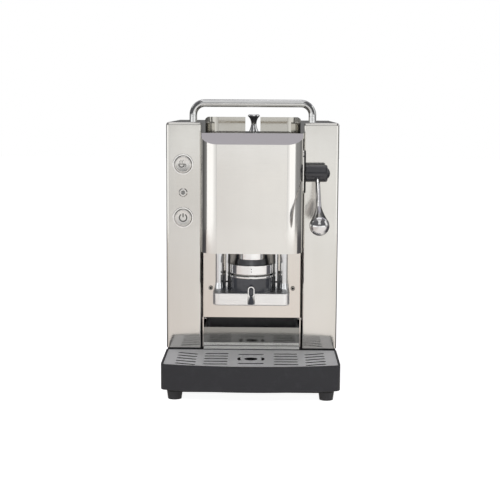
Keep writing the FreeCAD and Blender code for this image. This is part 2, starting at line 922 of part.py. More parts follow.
def make_plinth():
    """Bright block on the panel, that the pod holder and the rods stand on."""
    outer = front_round_block(-plinth_half, plinth_half, -plinth_reach, panel_setback, plinth_bottom,
                              plinth_top, plinth_corner)
    lower_rim = [e for e in outer.Edges if e.CenterOfMass.z < plinth_bottom + 0.1
                 and e.CenterOfMass.y < panel_setback - over]
    outer = outer.makeFillet(plinth_edge_round, lower_rim)
    upper_rim = [e for e in outer.Edges if e.BoundBox.ZMin > plinth_top - fixed_gap
                 and e.CenterOfMass.y < panel_setback - over]
    outer = outer.makeFillet(plinth_top_round, upper_rim)
    groove = rod(vec(0, spout_y, spout_skirt_bottom - seat_gap), Z, spout_skirt_radius + seat_gap,
                 plinth_height)
    return outer.cut(groove)


def make_guide_rods():
    rods = []
    top = shelf_bottom + shelf_thick / 2
    for x in (-guide_rod_x, guide_rod_x):
        shank = rod(vec(x, group_y, plinth_top), Z, guide_rod_radius, top - plinth_top)
        foot = rod(vec(x, group_y, plinth_top), Z, rod_foot_radius, rod_foot_height)
        flare = Part.makeCone(rod_foot_radius, guide_rod_radius, rod_flare_height,
                              vec(x, group_y, plinth_top + rod_foot_height))
        rods.append(fuse_all([shank, foot, flare]))
    return Part.makeCompound(rods)


def make_guide_pins():
    pin = rod(vec(guide_pin_x, group_y, plinth_top), Z, guide_pin_radius,
              shelf_bottom - plinth_top)
    return both_sides(pin)


def make_pin_collars():
    collar = tube(vec(guide_pin_x, group_y, plinth_top + pin_collar_rise), Z, pin_collar_radius,
                  guide_pin_radius + fixed_gap, pin_collar_height)
    return both_sides(collar)


def make_pod_holder():
    """Round seat with a well for the pod and a bore to the spout, on a block with an upright wall."""
    front = group_y - holder_radius
    neck = spout_half - spout_trim_wall
    seat = rod(vec(0, group_y, plinth_top), Z, holder_radius, holder_height)
    top = plinth_top + holder_block_height
    foot = block(-holder_block_half, holder_block_half, panel_setback - holder_block_depth,
                 panel_setback, plinth_top, top)
    foot = foot.makeFillet(holder_block_corner, straight_edges(foot, Y, lambda p: p.z > top - over))
    wall = block(-holder_wall_half, holder_wall_half, panel_setback - holder_wall, panel_setback,
                 plinth_top, shelf_bottom - seat_gap)
    room = rod(vec(0, group_y, holder_top), Z, seat_ring_radius + holder_wall_clearance,
               holder_height)
    body = fuse_all([seat, foot.cut(room), wall])
    well = rod(vec(0, group_y, seat_top - pod_depth), Z, pod_radius, pod_depth)
    drop = rod(vec(0, group_y, spout_neck_z), Z, drain_bore, holder_height)
    run = rod(vec(0, group_y, spout_neck_z), -Y, drain_bore, holder_radius)
    socket = rod(vec(0, front + spout_socket, spout_neck_z), -Y, neck, spout_socket + over)
    return body.cut([well, drop, run, socket])


def make_seat_ring():
    ring = tube(vec(0, group_y, holder_top), Z, seat_ring_radius, pod_radius, seat_ring_height)
    outer = [e for e in ring.Edges if e.Curve.TypeId == "Part::GeomCircle"
             and e.Curve.Radius > (seat_ring_radius + pod_radius) / 2]
    return ring.makeFillet(seat_ring_round, outer)


def make_spout():
    """Black neck that leaves the holder, turns down and ends in a flared skirt."""
    neck = spout_half - spout_trim_wall - fixed_gap
    start = group_y - holder_radius + spout_socket
    run = rod(vec(0, start, spout_neck_z), -Y, neck, start - spout_y)
    elbow = Part.makeSphere(neck, vec(0, spout_y, spout_neck_z))
    collar_z = spout_skirt_top + spout_collar
    drop = rod(vec(0, spout_y, collar_z), Z, neck, spout_neck_z - collar_z)
    collar = Part.makeCone(spout_skirt_neck, neck, spout_collar,
                           vec(0, spout_y, spout_skirt_top))
    skirt = Part.makeCone(spout_skirt_radius, spout_skirt_neck, spout_skirt_height,
                          vec(0, spout_y, spout_skirt_bottom))
    hollow = Part.makeCone(spout_skirt_radius - spout_lip, 0, spout_skirt_height - spout_lip,
                           vec(0, spout_y, spout_skirt_bottom))
    return fuse_all([run, elbow, drop, collar, skirt]).cut(hollow)


def arch_form(half, y0, depth, foot):
    top = rod(vec(0, y0, spout_neck_z), Y, half, depth)
    legs = block(-half, half, y0, y0 + depth, foot, spout_neck_z)
    return fuse_all([top, legs])


def make_spout_trim():
    """Bright arch round the front of the spout's neck."""
    y0 = spout_y - spout_trim_depth / 2
    foot = spout_neck_z - spout_trim_leg
    arch = arch_form(spout_half, y0, spout_trim_depth, foot)
    opening = arch_form(spout_half - spout_trim_wall, y0 - over, spout_trim_depth + 2 * over,
                        foot - over)
    return arch.cut(opening)


# Casting, bushes and shroud

def make_group_frame():
    """Casting: back plate, shelf over the rods, and two cheeks that carry the shaft."""
    front = -shroud_reach + sheet + shelf_front_gap
    shelf = front_round_block(-shelf_half, shelf_half, front, panel_setback, shelf_bottom,
                              shelf_top, shelf_corner)
    top = shelf_top + casting_height
    plate = block(-shelf_half, shelf_half, panel_setback - casting_back, panel_setback,
                  shelf_bottom, top)
    plate = plate.makeFillet(casting_corner, straight_edges(plate, Y, lambda p: p.z > top - over))
    nose = rack_back_y - seat_gap - rack_pad_thick - cheek_front_wall
    side = [vec(cheek_inner, nose, shelf_bottom), vec(cheek_inner, nose, shaft_z + cheek_shaft_cover),
            vec(cheek_inner, group_y, shaft_z + cheek_shoulder),
            vec(cheek_inner, panel_setback, shaft_z + cheek_shoulder),
            vec(cheek_inner, panel_setback, shelf_bottom)]
    cheek = prism(side, X * cheek_thick)
    bush_hole = rod(vec(cheek_inner - over, group_y, shaft_z), X,
                    shaft_radius + shaft_clearance + bush_wall + fixed_gap, cheek_thick + 2 * over)
    rod_hole = rod(vec(guide_rod_x, group_y, shelf_bottom - over), Z,
                   guide_rod_radius + fixed_gap, shelf_thick / 2 + over)
    cuts = [bush_hole, mirrored(bush_hole), rod_hole, mirrored(rod_hole)]
    cuts.append(rod(vec(0, group_y, shelf_bottom - over), Z, piston_radius + shaft_clearance,
                    shelf_thick + 2 * over))
    cuts.append(rod(vec(0, group_y, water_z), Y, feed_radius + fixed_gap,
                    panel_setback + over - group_y))
    return fuse_all([shelf, plate, cheek, mirrored(cheek)]).cut(cuts)


def make_shaft_bushes():
    outer = shaft_radius + shaft_clearance + bush_wall
    bush = tube(vec(cheek_inner, group_y, shaft_z), X, outer, shaft_radius + shaft_clearance,
                cheek_thick)
    return both_sides(bush)


def make_rack_pad():
    """Bronze pad in front of the rack, held between the cheeks."""
    back = rack_back_y - seat_gap
    return block(-cheek_inner, cheek_inner, back - rack_pad_thick, back, shaft_z - rack_pad_half,
                 shaft_z + rack_pad_half)


def shroud_form(inset, bottom, back):
    """Solid of the shroud, drawn in by inset: round front edges and a sloped top."""
    front = -shroud_reach + inset
    half = shroud_half - inset
    slope = math.atan2(shroud_slope_drop, shroud_slope_depth)
    face_top = shroud_face_top + inset * math.tan(slope) - inset / math.cos(slope)
    knee = -shroud_reach + shroud_slope_depth + inset * math.tan(slope / 2)
    top = shroud_top - inset
    side = [vec(0, front, bottom), vec(0, front, face_top), vec(0, knee, top), vec(0, back, top),
            vec(0, back, bottom)]
    plan = front_round_block(-half, half, front, back, bottom, shroud_top + over,
                             shroud_corner - inset)
    return slab(side, half).common(plan)


def bearing_form(start, end, lip):
    """Upright form with round ends on the shroud's right side, wider than the plate by lip."""
    radius = bearing_radius + lip
    reach = bearing_half - bearing_radius
    middle = shaft_z + bearing_lift
    web = block(start, end, group_y - radius, group_y + radius, middle - reach, middle + reach)
    ends = [rod(vec(start, group_y, middle + side * reach), X, radius, end - start)
            for side in (-1, 1)]
    return fuse_all([web] + ends)


def outer_face_edges(form):
    """Edges round the face that lies furthest to the right."""
    end = form.BoundBox.XMax
    return [e for e in form.Edges if e.BoundBox.XMin > end - fixed_gap]


def make_bearing_plate():
    """Black plate that the lever's shaft comes out of, on the shroud's pad."""
    plate = bearing_form(bearing_x, bearing_x + bearing_thick, 0)
    plate = plate.makeChamfer(bearing_bevel, outer_face_edges(plate))
    return plate.cut(rod(vec(bearing_x - over, group_y, shaft_z), X, shaft_radius + seat_gap,
                         bearing_thick + 2 * over))


def make_shroud():
    """Folded sheet open below and behind, cut away over the deck's lip, with a bearing pad."""
    outer = shroud_form(0, shroud_bottom, shroud_back)
    inner = shroud_form(sheet, shroud_bottom - over, shroud_back + over)
    half = shroud_half + over
    deck_cut = block(-half, half, shroud_back - sheet - seat_gap, shroud_back + over,
                     deck_top - sheet - seat_gap, shroud_top + over)
    hole_start = shroud_half - 2 * sheet
    shaft_hole = rod(vec(hole_start, group_y, shaft_z), X, shaft_radius + over,
                     bearing_x + over - hole_start)
    sheet_form = outer.cut([inner, deck_cut])
    pad = bearing_form(shroud_half - sheet / 2, bearing_x, bearing_pad_lip)
    pad = pad.makeFillet(bearing_pad_round, outer_face_edges(pad))
    return fuse_all([sheet_form, pad]).cut(shaft_hole)


# Press: ring, seal, screen, collar, piston, nuts and rack

def make_press_ring():
    wall = tube(vec(0, group_y, press_bottom), Z, press_ring_radius, press_ring_bore,
                press_ring_height)
    roof_z = press_top - press_ring_roof
    roof = tube(vec(0, group_y, roof_z), Z, press_ring_radius, piston_radius - press_ring_roof,
                press_ring_roof)
    ring = fuse_all([wall, roof])
    outer = [e for e in ring.Edges if e.Curve.TypeId == "Part::GeomCircle"
             and e.Curve.Radius > press_ring_bore + over]
    return ring.makeFillet(press_ring_round, outer)


def make_press_seal():
    """Rubber ring in the mouth of the press ring. Its lip closes on the pod."""
    bore = press_ring_bore - seal_wall
    lip_z = seat_top + seat_gap
    lip = tube(vec(0, group_y, lip_z), Z, seal_radius, bore, press_bottom - lip_z)
    body = tube(vec(0, group_y, press_bottom), Z, press_ring_bore - fixed_gap, bore, seal_depth)
    return fuse_all([lip, body])


def make_shower_screen():
    """Thin disc behind the seal, with rings of holes."""
    z = press_bottom + seal_depth
    disc = rod(vec(0, group_y, z), Z, press_ring_bore - fixed_gap, screen_sheet)
    holes = []
    for radius, count in zip(screen_ring_radii, screen_ring_holes):
        for step in range(count):
            angle = 2 * math.pi * step / count
            place = vec(radius * math.cos(angle), group_y + radius * math.sin(angle), z - over)
            holes.append(rod(place, Z, screen_hole, screen_sheet + 2 * over))
    return disc.cut(holes)


def make_press_collar():
    cone = Part.makeCone(collar_radius, piston_radius + collar_top_wall, collar_height,
                         vec(0, group_y, press_top))
    return cone.cut(rod(vec(0, group_y, press_top - over), Z, piston_radius + fixed_gap,
                        collar_height + 2 * over))


def make_press_piston():
    """Piston with a water bore down its middle, and a port that meets the feed at rest."""
    piston = rod(vec(0, group_y, press_top), Z, piston_radius, piston_top - press_top)
    bore = rod(vec(0, group_y, press_top - over), Z, water_bore, water_z - press_top + over)
    port = rod(vec(0, group_y, water_z), Y, water_bore, piston_radius + over)
    return piston.cut([bore, port])


def make_press_nuts():
    """Dark shoulder nuts that hold the press ring, one each side of the piston."""
    nut = rod(vec(stud_x, group_y, press_top), Z, stud_radius, stud_height)
    nut = nut.makeChamfer(stud_bevel, round_edges(nut, lambda p: p.z > press_top + over))
    return both_sides(nut)


def make_rack():
    """Toothed bar on the piston. A gap between two teeth lies at the shaft's height."""
    tip_y = rack_pitch_y + gear_module
    flank = math.tan(math.radians(pressure_angle))
    half_tooth = rack_pitch / 4 - gear_backlash / 2
    root_half = half_tooth + (rack_pitch_y - rack_root_y) * flank
    tip_half = half_tooth - (tip_y - rack_pitch_y) * flank
    foot_y = group_y + rack_foot_reach
    foot_top = piston_top + rack_foot
    side = [vec(0, rack_back_y, piston_top), vec(0, foot_y, piston_top), vec(0, foot_y, foot_top),
            vec(0, rack_root_y, foot_top)]
    for tooth in range(rack_teeth):
        z = shaft_z + rack_pitch * (tooth + 0.5 - rack_teeth_below)
        side += [vec(0, rack_root_y, z - root_half), vec(0, tip_y, z - tip_half),
                 vec(0, tip_y, z + tip_half), vec(0, rack_root_y, z + root_half)]
    side += [vec(0, rack_root_y, rack_top), vec(0, rack_back_y, rack_top)]
    return slab(side, gear_face / 2)


# Lever, its shaft and the pinion

def involute(base, radius):
    """Angle between a base circle's start point and its involute's point at a radius."""
    roll = math.sqrt(max((radius / base) ** 2 - 1, 0))
    return roll - math.atan(roll)


def make_pinion():
    base = pitch_radius * math.cos(math.radians(pressure_angle))
    tip = pitch_radius + gear_module
    root = pitch_radius - gear_root_factor * gear_module
    half_tooth = math.pi / (2 * gear_teeth) - gear_backlash / (2 * pitch_radius)
    foot = half_tooth + involute(base, pitch_radius)
    radii = [base + (tip - base) * step / flank_steps for step in range(flank_steps + 1)]
    flank = [(root, foot)] + [(r, foot - involute(base, r)) for r in radii]
    points = []
    for tooth in range(gear_teeth):
        middle = 2 * math.pi * tooth / gear_teeth - math.pi / 2
        rising = [(r, middle - angle) for r, angle in flank]
        falling = [(r, middle + angle) for r, angle in reversed(flank)]
        for radius, angle in rising + falling:
            points.append(vec(0, group_y + radius * math.sin(angle),
                              shaft_z + radius * math.cos(angle)))
    gear = slab(points, gear_face / 2)
    return gear.cut(rod(vec(-gear_face, group_y, shaft_z), X, shaft_radius + fixed_gap,
                        2 * gear_face))


def lever_direction():
    droop = math.radians(lever_droop)
    return vec(0, -math.cos(droop), -math.sin(droop))


def make_lever_shaft():
    start = -cheek_inner - cheek_thick - shaft_end
    return rod(vec(start, group_y, shaft_z), X, shaft_radius, hub_start + hub_bore_depth - start)


def make_lever_hub():
    """Round hub with a low dome on its end, bored for the shaft and for the stem."""
    end = hub_start + hub_length
    body = rod(vec(hub_start, group_y, shaft_z), X, hub_radius, hub_length)
    body = body.makeFillet(hub_end_round, round_edges(body, lambda p: p.x > end - 0.1))
    dome_radius = (hub_cap_radius ** 2 + hub_cap_length ** 2) / (2 * hub_cap_length)
    dome = Part.makeSphere(dome_radius, vec(end + hub_cap_length - dome_radius, group_y, shaft_z))
    cap = dome.common(rod(vec(end - over, group_y, shaft_z), X, hub_cap_radius, 2 * dome_radius))
    bore = rod(vec(hub_start - over, group_y, shaft_z), X, shaft_radius + fixed_gap,
               hub_bore_depth + over)
    socket = rod(vec(lever_x, group_y, shaft_z), lever_direction(), stem_radius + fixed_gap,
                 hub_radius + over)
    return fuse_all([body, cap]).cut([bore, socket])


def make_lever_stem():
    """Straight in the hub, a slim taper outside it, and a pin inside the knob."""
    direction = lever_direction()
    middle = vec(lever_x, group_y, shaft_z)
    inner, outer = shaft_radius + seat_gap, hub_radius + seat_gap
    neck = lever_length - knob_neck
    root = rod(middle + direction * inner, direction, stem_radius, outer - inner)
    taper = Part.makeCone(stem_radius, stem_low_radius, neck - outer, middle + direction * outer,
                          direction)
    pin = rod(middle + direction * neck, direction, stem_pin_radius, knob_bore_depth)
    return fuse_all([root, taper, pin])


def make_lever_knob():
    """Bright drop: a ball that runs out into a slim neck, bored for the stem."""
    reach = math.hypot(knob_neck, knob_neck_radius)
    tangent = math.asin(knob_radius / reach) - math.atan2(knob_neck_radius, knob_neck)
    touch = vec(knob_radius * math.cos(tangent), 0, knob_radius * math.sin(tangent))
    neck = vec(knob_neck_radius, 0, knob_neck)
    waist = (neck + touch) / 2 - vec(knob_hollow, 0, 0)
    bottom = vec(0, 0, -knob_radius)
    side = Part.Arc(neck, waist, touch).toShape()
    ball = Part.Arc(touch, vec(knob_radius, 0, 0), bottom).toShape()
    axis = Part.makeLine(bottom, vec(0, 0, knob_neck))
    end = Part.makeLine(vec(0, 0, knob_neck), neck)
    knob = Part.Face(Part.Wire([side, ball, axis, end])).revolve(ORIGIN, Z, 360)
    knob = knob.cut(rod(vec(0, 0, knob_neck - knob_bore_depth), Z, stem_pin_radius + fixed_gap,
                        knob_bore_depth + over))
    upward = lever_direction() * -1
    knob.rotate(ORIGIN, X, math.degrees(math.atan2(-upward.y, upward.z)))
    knob.translate(vec(lever_x, group_y, shaft_z) + lever_direction() * lever_length)
    return knob


# Controls

def make_button_bezels():
    bezels = []
    for z in (brew_z, power_z):
        rim = rod(vec(control_x, -bezel_proud, z), Y, bezel_radius, bezel_proud)
        rim = rim.makeChamfer(bezel_bevel, round_edges(rim, lambda p: p.y < -bezel_proud + 0.1))
        barrel = rod(vec(control_x, 0, z), Y, barrel_radius, barrel_length)
        bore = rod(vec(control_x, -bezel_proud - over, z), Y, cap_radius + cap_gap,
                   barrel_length + bezel_proud + 2 * over)
        bezels.append(fuse_all([rim, barrel]).cut(bore))
    return Part.makeCompound(bezels)


def make_button(z):
    """Cap with a plunger that reaches into the switch."""
    cap = rod(vec(control_x, -cap_proud, z), Y, cap_radius, cap_length)
    cap = cap.makeFillet(cap_round, round_edges(cap, lambda p: p.y < -cap_proud + 0.1))
    plunger = rod(vec(control_x, 0, z), Y, plunger_radius, barrel_length + plunger_entry)
    return fuse_all([cap, plunger])


def make_brew_button():
    return make_button(brew_z)


def make_power_button():
    return make_button(power_z)


def make_button_switches():
    """Switch bodies behind the bezels, bored for the plungers, with two terminals each."""
    switches = []
    start, end = barrel_length, barrel_length + switch_length
    for z in (brew_z, power_z):
        body = block(control_x - switch_half, control_x + switch_half, start, end, z - switch_half,
                     z + switch_half)
        terminals = []
        for side in (-1, 1):
            middle = z + side * terminal_spread
            terminals.append(block(control_x - terminal_half_thick, control_x + terminal_half_thick,
                                   end - over, end + terminal_length,
                                   middle - terminal_half_width, middle + terminal_half_width))
        bore = rod(vec(control_x, start - over, z), Y, plunger_radius + cap_gap,
                   over + plunger_entry + button_travel + seat_gap)
        switches.append(fuse_all([body] + terminals).cut(bore))
    return Part.makeCompound(switches)


def make_led_bezel():
    rim = Part.makeCone(led_bezel_radius, led_barrel_radius, led_bezel_proud,
                        vec(control_x, 0, led_z), -Y)
    barrel = rod(vec(control_x, 0, led_z), Y, led_barrel_radius, led_length)
    return fuse_all([rim, barrel]).cut(rod(vec(control_x, -led_bezel_proud - over, led_z), Y,
                                           led_radius, led_length + led_bezel_proud + 2 * over))


def make_led_lens():
    front = -led_bezel_proud - seat_gap
    body = rod(vec(control_x, front, led_z), Y, led_radius - fixed_gap, led_length - front)
    dome = Part.makeSphere(led_dome_radius, vec(control_x, front + led_dome_radius, led_z))
    rear = rod(vec(control_x, front + led_dome_radius, led_z), Y, led_radius, led_length)
    return body.common(dome.fuse(rear)).removeSplitter()


# Handle, fence and tank

def make_handle_rail():
    """Bent tube in one piece, with a threaded stud at each foot."""
    level = rail_top - rail_radius
    bend_z = level - rail_bend
    bend_x = rail_half - rail_bend
    path = Part.Wire([
        Part.makeLine(vec(-rail_half, rail_y, column_top), vec(-rail_half, rail_y, bend_z)),
        rail_corner(-1, bend_x, bend_z, level),
        Part.makeLine(vec(-bend_x, rail_y, level), vec(bend_x, rail_y, level)),
        rail_corner(1, bend_x, bend_z, level),
        Part.makeLine(vec(rail_half, rail_y, bend_z), vec(rail_half, rail_y, column_top))])
    profile = Part.Wire([Part.makeCircle(rail_radius, vec(-rail_half, rail_y, column_top), Z)])
    bar = path.makePipeShell([profile], True, False)
    stud = rod(vec(rail_half, rail_y, column_top - thread_length), Z, thread_radius,
               thread_length + over)
    return fuse_all([bar, stud, mirrored(stud)])


def rail_corner(side, bend_x, bend_z, level):
    """Quarter turn of the rail, in the order in which the path runs."""
    reach = rail_bend * math.sqrt(0.5)
    low = vec(side * rail_half, rail_y, bend_z)
    middle = vec(side * (bend_x + reach), rail_y, bend_z + reach)
    high = vec(side * bend_x, rail_y, level)
    ends = (low, high) if side < 0 else (high, low)
    return Part.Arc(ends[0], middle, ends[1]).toShape()


def make_handle_nuts():
    corner = nut_width / math.sqrt(3)
    z = column_top - sheet - nut_height
    turns = [math.radians(60 * step) for step in range(6)]
    outline = [vec(rail_half + corner * math.cos(t), rail_y + corner * math.sin(t), z)
               for t in turns]
    bore = rod(vec(rail_half, rail_y, z - over), Z, thread_radius + fixed_gap,
               nut_height + 2 * over)
    return both_sides(prism(outline, Z * nut_height).cut(bore))


def fence_layer(outer, inner, z0, z1):
    """Right half of the fence between two offsets: front run, round corner and side run."""
    back = fence_end
    front = fence_notch
    form = block(front, fence_half - outer, fence_front + outer, back, z0, z1)
    form = form.makeFillet(fence_corner - outer, straight_edges(
        form, Z, lambda p: p.y < fence_front + outer + over and p.x > front + over))
    hollow = block(front - over, fence_half - inner, fence_front + inner, back + over, z0 - over,
                   z1 + over)
    hollow = hollow.makeFillet(fence_corner - inner, straight_edges(
        hollow, Z, lambda p: p.y < fence_front + inner + over and p.x > front + over))
    return form.cut(hollow)


def make_cup_fence():
    """Two bent rails with a folded foot, a hemmed top and a round outer edge, and a notch between."""
    top = deck_top + fence_height
    wall = fence_layer(0, fence_sheet, deck_top, top)
    hem = fence_layer(-fence_sheet / 2, fence_sheet, top - fence_hem, top)
    foot = fence_layer(0, fence_sheet + fence_flange, deck_top, deck_top + sheet)
    half = fence_half + fence_sheet / 2
    corner_x, corner_z = half - fence_top_round, top - fence_top_round
    outside = block(corner_x, half + over, fence_front - over, fence_end + over, corner_z, top + over)
    outside = outside.cut(rod(vec(corner_x, fence_front - 2 * over, corner_z), Y, fence_top_round,
                              fence_end - fence_front + 4 * over))
    return both_sides(fuse_all([wall, hem, foot]).cut(outside))


def make_water_tank():
    rim_top = tank_top + tank_rim_sheet
    outer = round_block(-tank_half, tank_half, tank_front, tank_back, tank_bottom, rim_top,
                        tank_corner)
    rim = round_block(-tank_half - tank_rim, tank_half + tank_rim, tank_front - tank_rim,
                      tank_back + tank_rim, tank_top, rim_top, tank_corner + tank_rim)
    inner = round_block(-tank_half + tank_wall, tank_half - tank_wall, tank_front + tank_wall,
                        tank_back - tank_wall, tank_bottom + tank_wall, rim_top + over,
                        tank_corner - tank_wall)
    outlet = rod(vec(0, tank_y, tank_bottom - outlet_drop), Z, outlet_radius, outlet_drop)
    bore = rod(vec(0, tank_y, tank_bottom - outlet_drop - over), Z, water_bore,
               outlet_drop + tank_wall + 2 * over)
    return fuse_all([outer, rim, outlet]).cut([inner, bore])


def make_tank_lid():
    reach = tank_rim - lid_margin
    plate = round_block(-tank_half - reach, tank_half + reach, tank_front - reach,
                        tank_back + reach, lid_bottom, lid_top, tank_corner + reach)
    gap = tank_wall + lid_skirt_gap
    skirt = round_block(-tank_half + gap, tank_half - gap, tank_front + gap, tank_back - gap,
                        lid_bottom - lid_skirt, lid_bottom, tank_corner - gap)
    gap += lid_skirt_wall
    hollow = round_block(-tank_half + gap, tank_half - gap, tank_front + gap, tank_back - gap,
                         lid_bottom - lid_skirt - over, lid_bottom, tank_corner - gap)
    hole = rod(vec(0, tank_y, lid_bottom - over), Z, lid_screw_radius + fixed_gap,
               lid_sheet + 2 * over)
    return fuse_all([plate, skirt.cut(hollow)]).cut(hole)


def make_lid_knob():
    """Turned hourglass knob with a screw below."""
    height = lid_knob_height
    waist_x, top_x, base_x = lid_knob_waist_radius, lid_knob_top_radius, lid_knob_base_radius
    foot = vec(base_x, 0, lid_knob_foot)
    shoulder = vec(top_x, 0, height - lid_knob_crown)
    low = vec((waist_x * 2 + base_x) / 3, 0, height / 4)
    high = vec((waist_x * 2 + top_x) / 3, 0, height * 3 / 4)
    flank = Part.BSplineCurve()
    flank.interpolate([foot, low, vec(waist_x, 0, height / 2), high, shoulder])
    turn = lid_knob_crown * math.sqrt(0.5)
    bend = vec(top_x - lid_knob_crown + turn, 0, height - lid_knob_crown + turn)
    edge = vec(top_x - lid_knob_crown, 0, height)
    screw_end = -lid_sheet - lid_screw_end
    corners = [edge, vec(0, 0, height), vec(0, 0, screw_end),
               vec(lid_screw_radius, 0, screw_end), vec(lid_screw_radius, 0, 0),
               vec(base_x, 0, 0), foot]
    lines = [Part.makeLine(p, q) for p, q in zip(corners, corners[1:])]
    outline = Part.Wire([flank.toShape(), Part.Arc(shoulder, bend, edge).toShape()] + lines)
    knob = Part.Face(outline).revolve(ORIGIN, Z, 360)
    knob.translate(vec(0, tank_y, lid_top))
    return knob


def make_tank_shelf():
    """Bent shelf under the tank, its side flanges against the columns."""
    front, back = chute_back + sheet, body_depth
    top = tank_shelf_top
    plate = block(-bay_half, bay_half, front, back, top - back_sheet, top)
    flange = block(bay_half - back_sheet, bay_half, front, back, top - column_flange, top)
    hole = rod(vec(0, tank_y, top - back_sheet - over), Z, outlet_radius + outlet_gap,
               back_sheet + 2 * over)
    return fuse_all([plate, flange, mirrored(flange)]).cut(hole)


def make_tank_seat():
    """Rubber cup that the tank's outlet plugs into, with a hose spigot below."""
    bore_radius = outlet_radius + outlet_gap
    cup = rod(vec(0, tank_y, seat_cup_bottom), Z, bore_radius + seat_cup_wall,
              seat_cup_top - seat_cup_bottom)
    inside = rod(vec(0, tank_y, seat_cup_bottom + seat_cup_floor), Z, bore_radius, outlet_drop)
    spigot = rod(vec(0, tank_y, seat_spigot_end), Z, hose_radius, spigot_length + over)
    bore = rod(vec(0, tank_y, seat_spigot_end - over), Z, spigot_bore,
               spigot_length + seat_cup_floor + 2 * over)
    return fuse_all([cup, spigot]).cut([inside, bore])


# Boiler, pump, hoses and control board

def make_boiler():
    body = rod(vec(0, boiler_y, boiler_bottom), Z, boiler_radius, boiler_height)
    body = body.makeFillet(boiler_round, round_edges(body, lambda p: True))
    flange = rod(vec(0, boiler_y, boiler_rest), Z, boiler_radius + boiler_flange_lip,
                 boiler_flange)
    outlet = rod(vec(0, boiler_y, boiler_bottom - boiler_port), Z, boiler_port_radius,
                 boiler_port + over)
    inlet = rod(vec(0, boiler_y, boiler_top - over), Z, boiler_port_radius, boiler_port + over)
    return fuse_all([body, flange, outlet, inlet])


def make_boiler_bracket():
    """Angle on the back of the recess panel. The boiler's flange rests on it."""
    y0 = panel_setback + sheet
    wall = block(-bracket_half, bracket_half, y0, y0 + bracket_sheet, boiler_rest - bracket_drop,
                 boiler_rest)
    arm = block(-bracket_half, bracket_half, y0, boiler_y - boiler_radius / 2,
                boiler_rest - bracket_sheet, boiler_rest)
    bore = rod(vec(0, boiler_y, boiler_rest - bracket_sheet - over), Z,
               boiler_radius + shaft_clearance, bracket_sheet + 2 * over)
    return fuse_all([wall, arm]).cut(bore)


def pipe(points, bends, radius):
    """Round pipe through points, each inner corner rounded by its own bend."""
    edges = []
    start = points[0]
    for before, corner, after, bend in zip(points, points[1:], points[2:], bends):
        arrive = (corner - before).normalize()
        leave = (after - corner).normalize()
        turn = arrive.getAngle(leave)
        cut = bend * math.tan(turn / 2)
        middle = corner + (leave - arrive).normalize() * (bend / math.cos(turn / 2) - bend)
        edges.append(Part.makeLine(start, corner - arrive * cut))
        edges.append(Part.Arc(corner - arrive * cut, middle, corner + leave * cut).toShape())
        start = corner + leave * cut
    edges.append(Part.makeLine(start, points[-1]))
    profile = Part.Wire([Part.makeCircle(radius, points[0], points[1] - points[0])])
    return Part.Wire(edges).makePipeShell([profile], True, False)


def make_feed_pipe():
    """Copper pipe from the boiler's outlet to the bore in the casting."""
    start = vec(0, boiler_y, boiler_bottom - boiler_port)
    corner = vec(0, boiler_y, water_z)
    return pipe([start, corner, vec(0, panel_setback - feed_entry, water_z)], [feed_bend],
                feed_radius)


def make_pump():
    """Pump lying across the machine: coil block, barrel, and an elbow at each end."""
    barrel = rod(vec(-pump_half, pump_y, pump_z), X, pump_barrel_radius, 2 * pump_half)
    coil = block(-pump_coil_length / 2, pump_coil_length / 2, pump_y - pump_coil_half,
                 pump_y + pump_coil_half, pump_z - pump_coil_half, pump_z + pump_coil_half)
    arm = rod(vec(pump_half, pump_y, pump_z), X, pump_elbow_radius, pump_elbow)
    knuckle = Part.makeSphere(pump_elbow_radius, vec(pump_half + pump_elbow, pump_y, pump_z))
    rise = rod(vec(pump_half + pump_elbow, pump_y, pump_z), Z, pump_elbow_radius, pump_elbow)
    elbow = [arm, knuckle, rise]
    return fuse_all([barrel, coil] + elbow + [mirrored(s) for s in elbow])


def make_pump_mounts():
    """Two rubber blocks on the base floor that grip the pump's barrel."""
    x = pump_coil_length / 2 + mount_side_gap
    mount = block(x, x + mount_thick, pump_y - mount_half, pump_y + mount_half, floor_top,
                  pump_z + mount_cover)
    bore = rod(vec(x - over, pump_y, pump_z), X, pump_barrel_radius + fixed_gap,
               mount_thick + 2 * over)
    return both_sides(mount.cut(bore))


def make_water_hoses():
    """Suction hose from the tank's seat to the pump, and pressure hose up to the boiler."""
    port_x = pump_half + pump_elbow
    port_z = pump_z + pump_elbow
    drop = (seat_spigot_end - port_z) / 3
    suction = pipe([vec(0, tank_y, seat_spigot_end), vec(0, tank_y, seat_spigot_end - drop),
                    vec(-port_x, pump_y, port_z + drop), vec(-port_x, pump_y, port_z)],
                   [hose_bend, hose_bend], hose_radius)
    front = tank_front - hose_side_gap
    cross_z = (slot_top + chute_height + tank_shelf_top) / 2
    roof_z = deck_top - sheet - 2 * hose_radius
    pressure = pipe([vec(port_x, pump_y, port_z), vec(port_x, pump_y, cross_z),
                     vec(port_x, front, cross_z), vec(port_x, front, roof_z),
                     vec(0, boiler_y, roof_z), vec(0, boiler_y, boiler_top + boiler_port)],
                    [hose_bend, hose_bend, hose_bend, hose_end_bend], hose_radius)
    return Part.makeCompound([suction, pressure])


def make_control_board():
    """Board upright in the left column on four posts, with its three largest kinds of part."""
    face = board_x - board_thick
    front, low = board_setback, board_z
    pieces = [block(face, board_x, front, front + board_depth, low, low + board_height)]
    pieces.append(block(face - relay_height, face, front + relay_y, front + relay_y + relay_side,
                        low + relay_z, low + relay_z + relay_side))
    pieces.append(block(face - coil_height, face, front + relay_y, front + relay_y + coil_side,
                        low + coil_z, low + coil_z + coil_side))
    for step in range(can_count):
        place = vec(face, front + can_y, low + can_z + step * can_pitch)
        pieces.append(rod(place, -X, can_radius, can_height))
    for y in (post_inset, board_depth - post_inset):
        for z in (post_inset, board_height - post_inset):
            pieces.append(rod(vec(board_x, front + y, low + z), X, post_radius, post_length))
    return fuse_all(pieces)


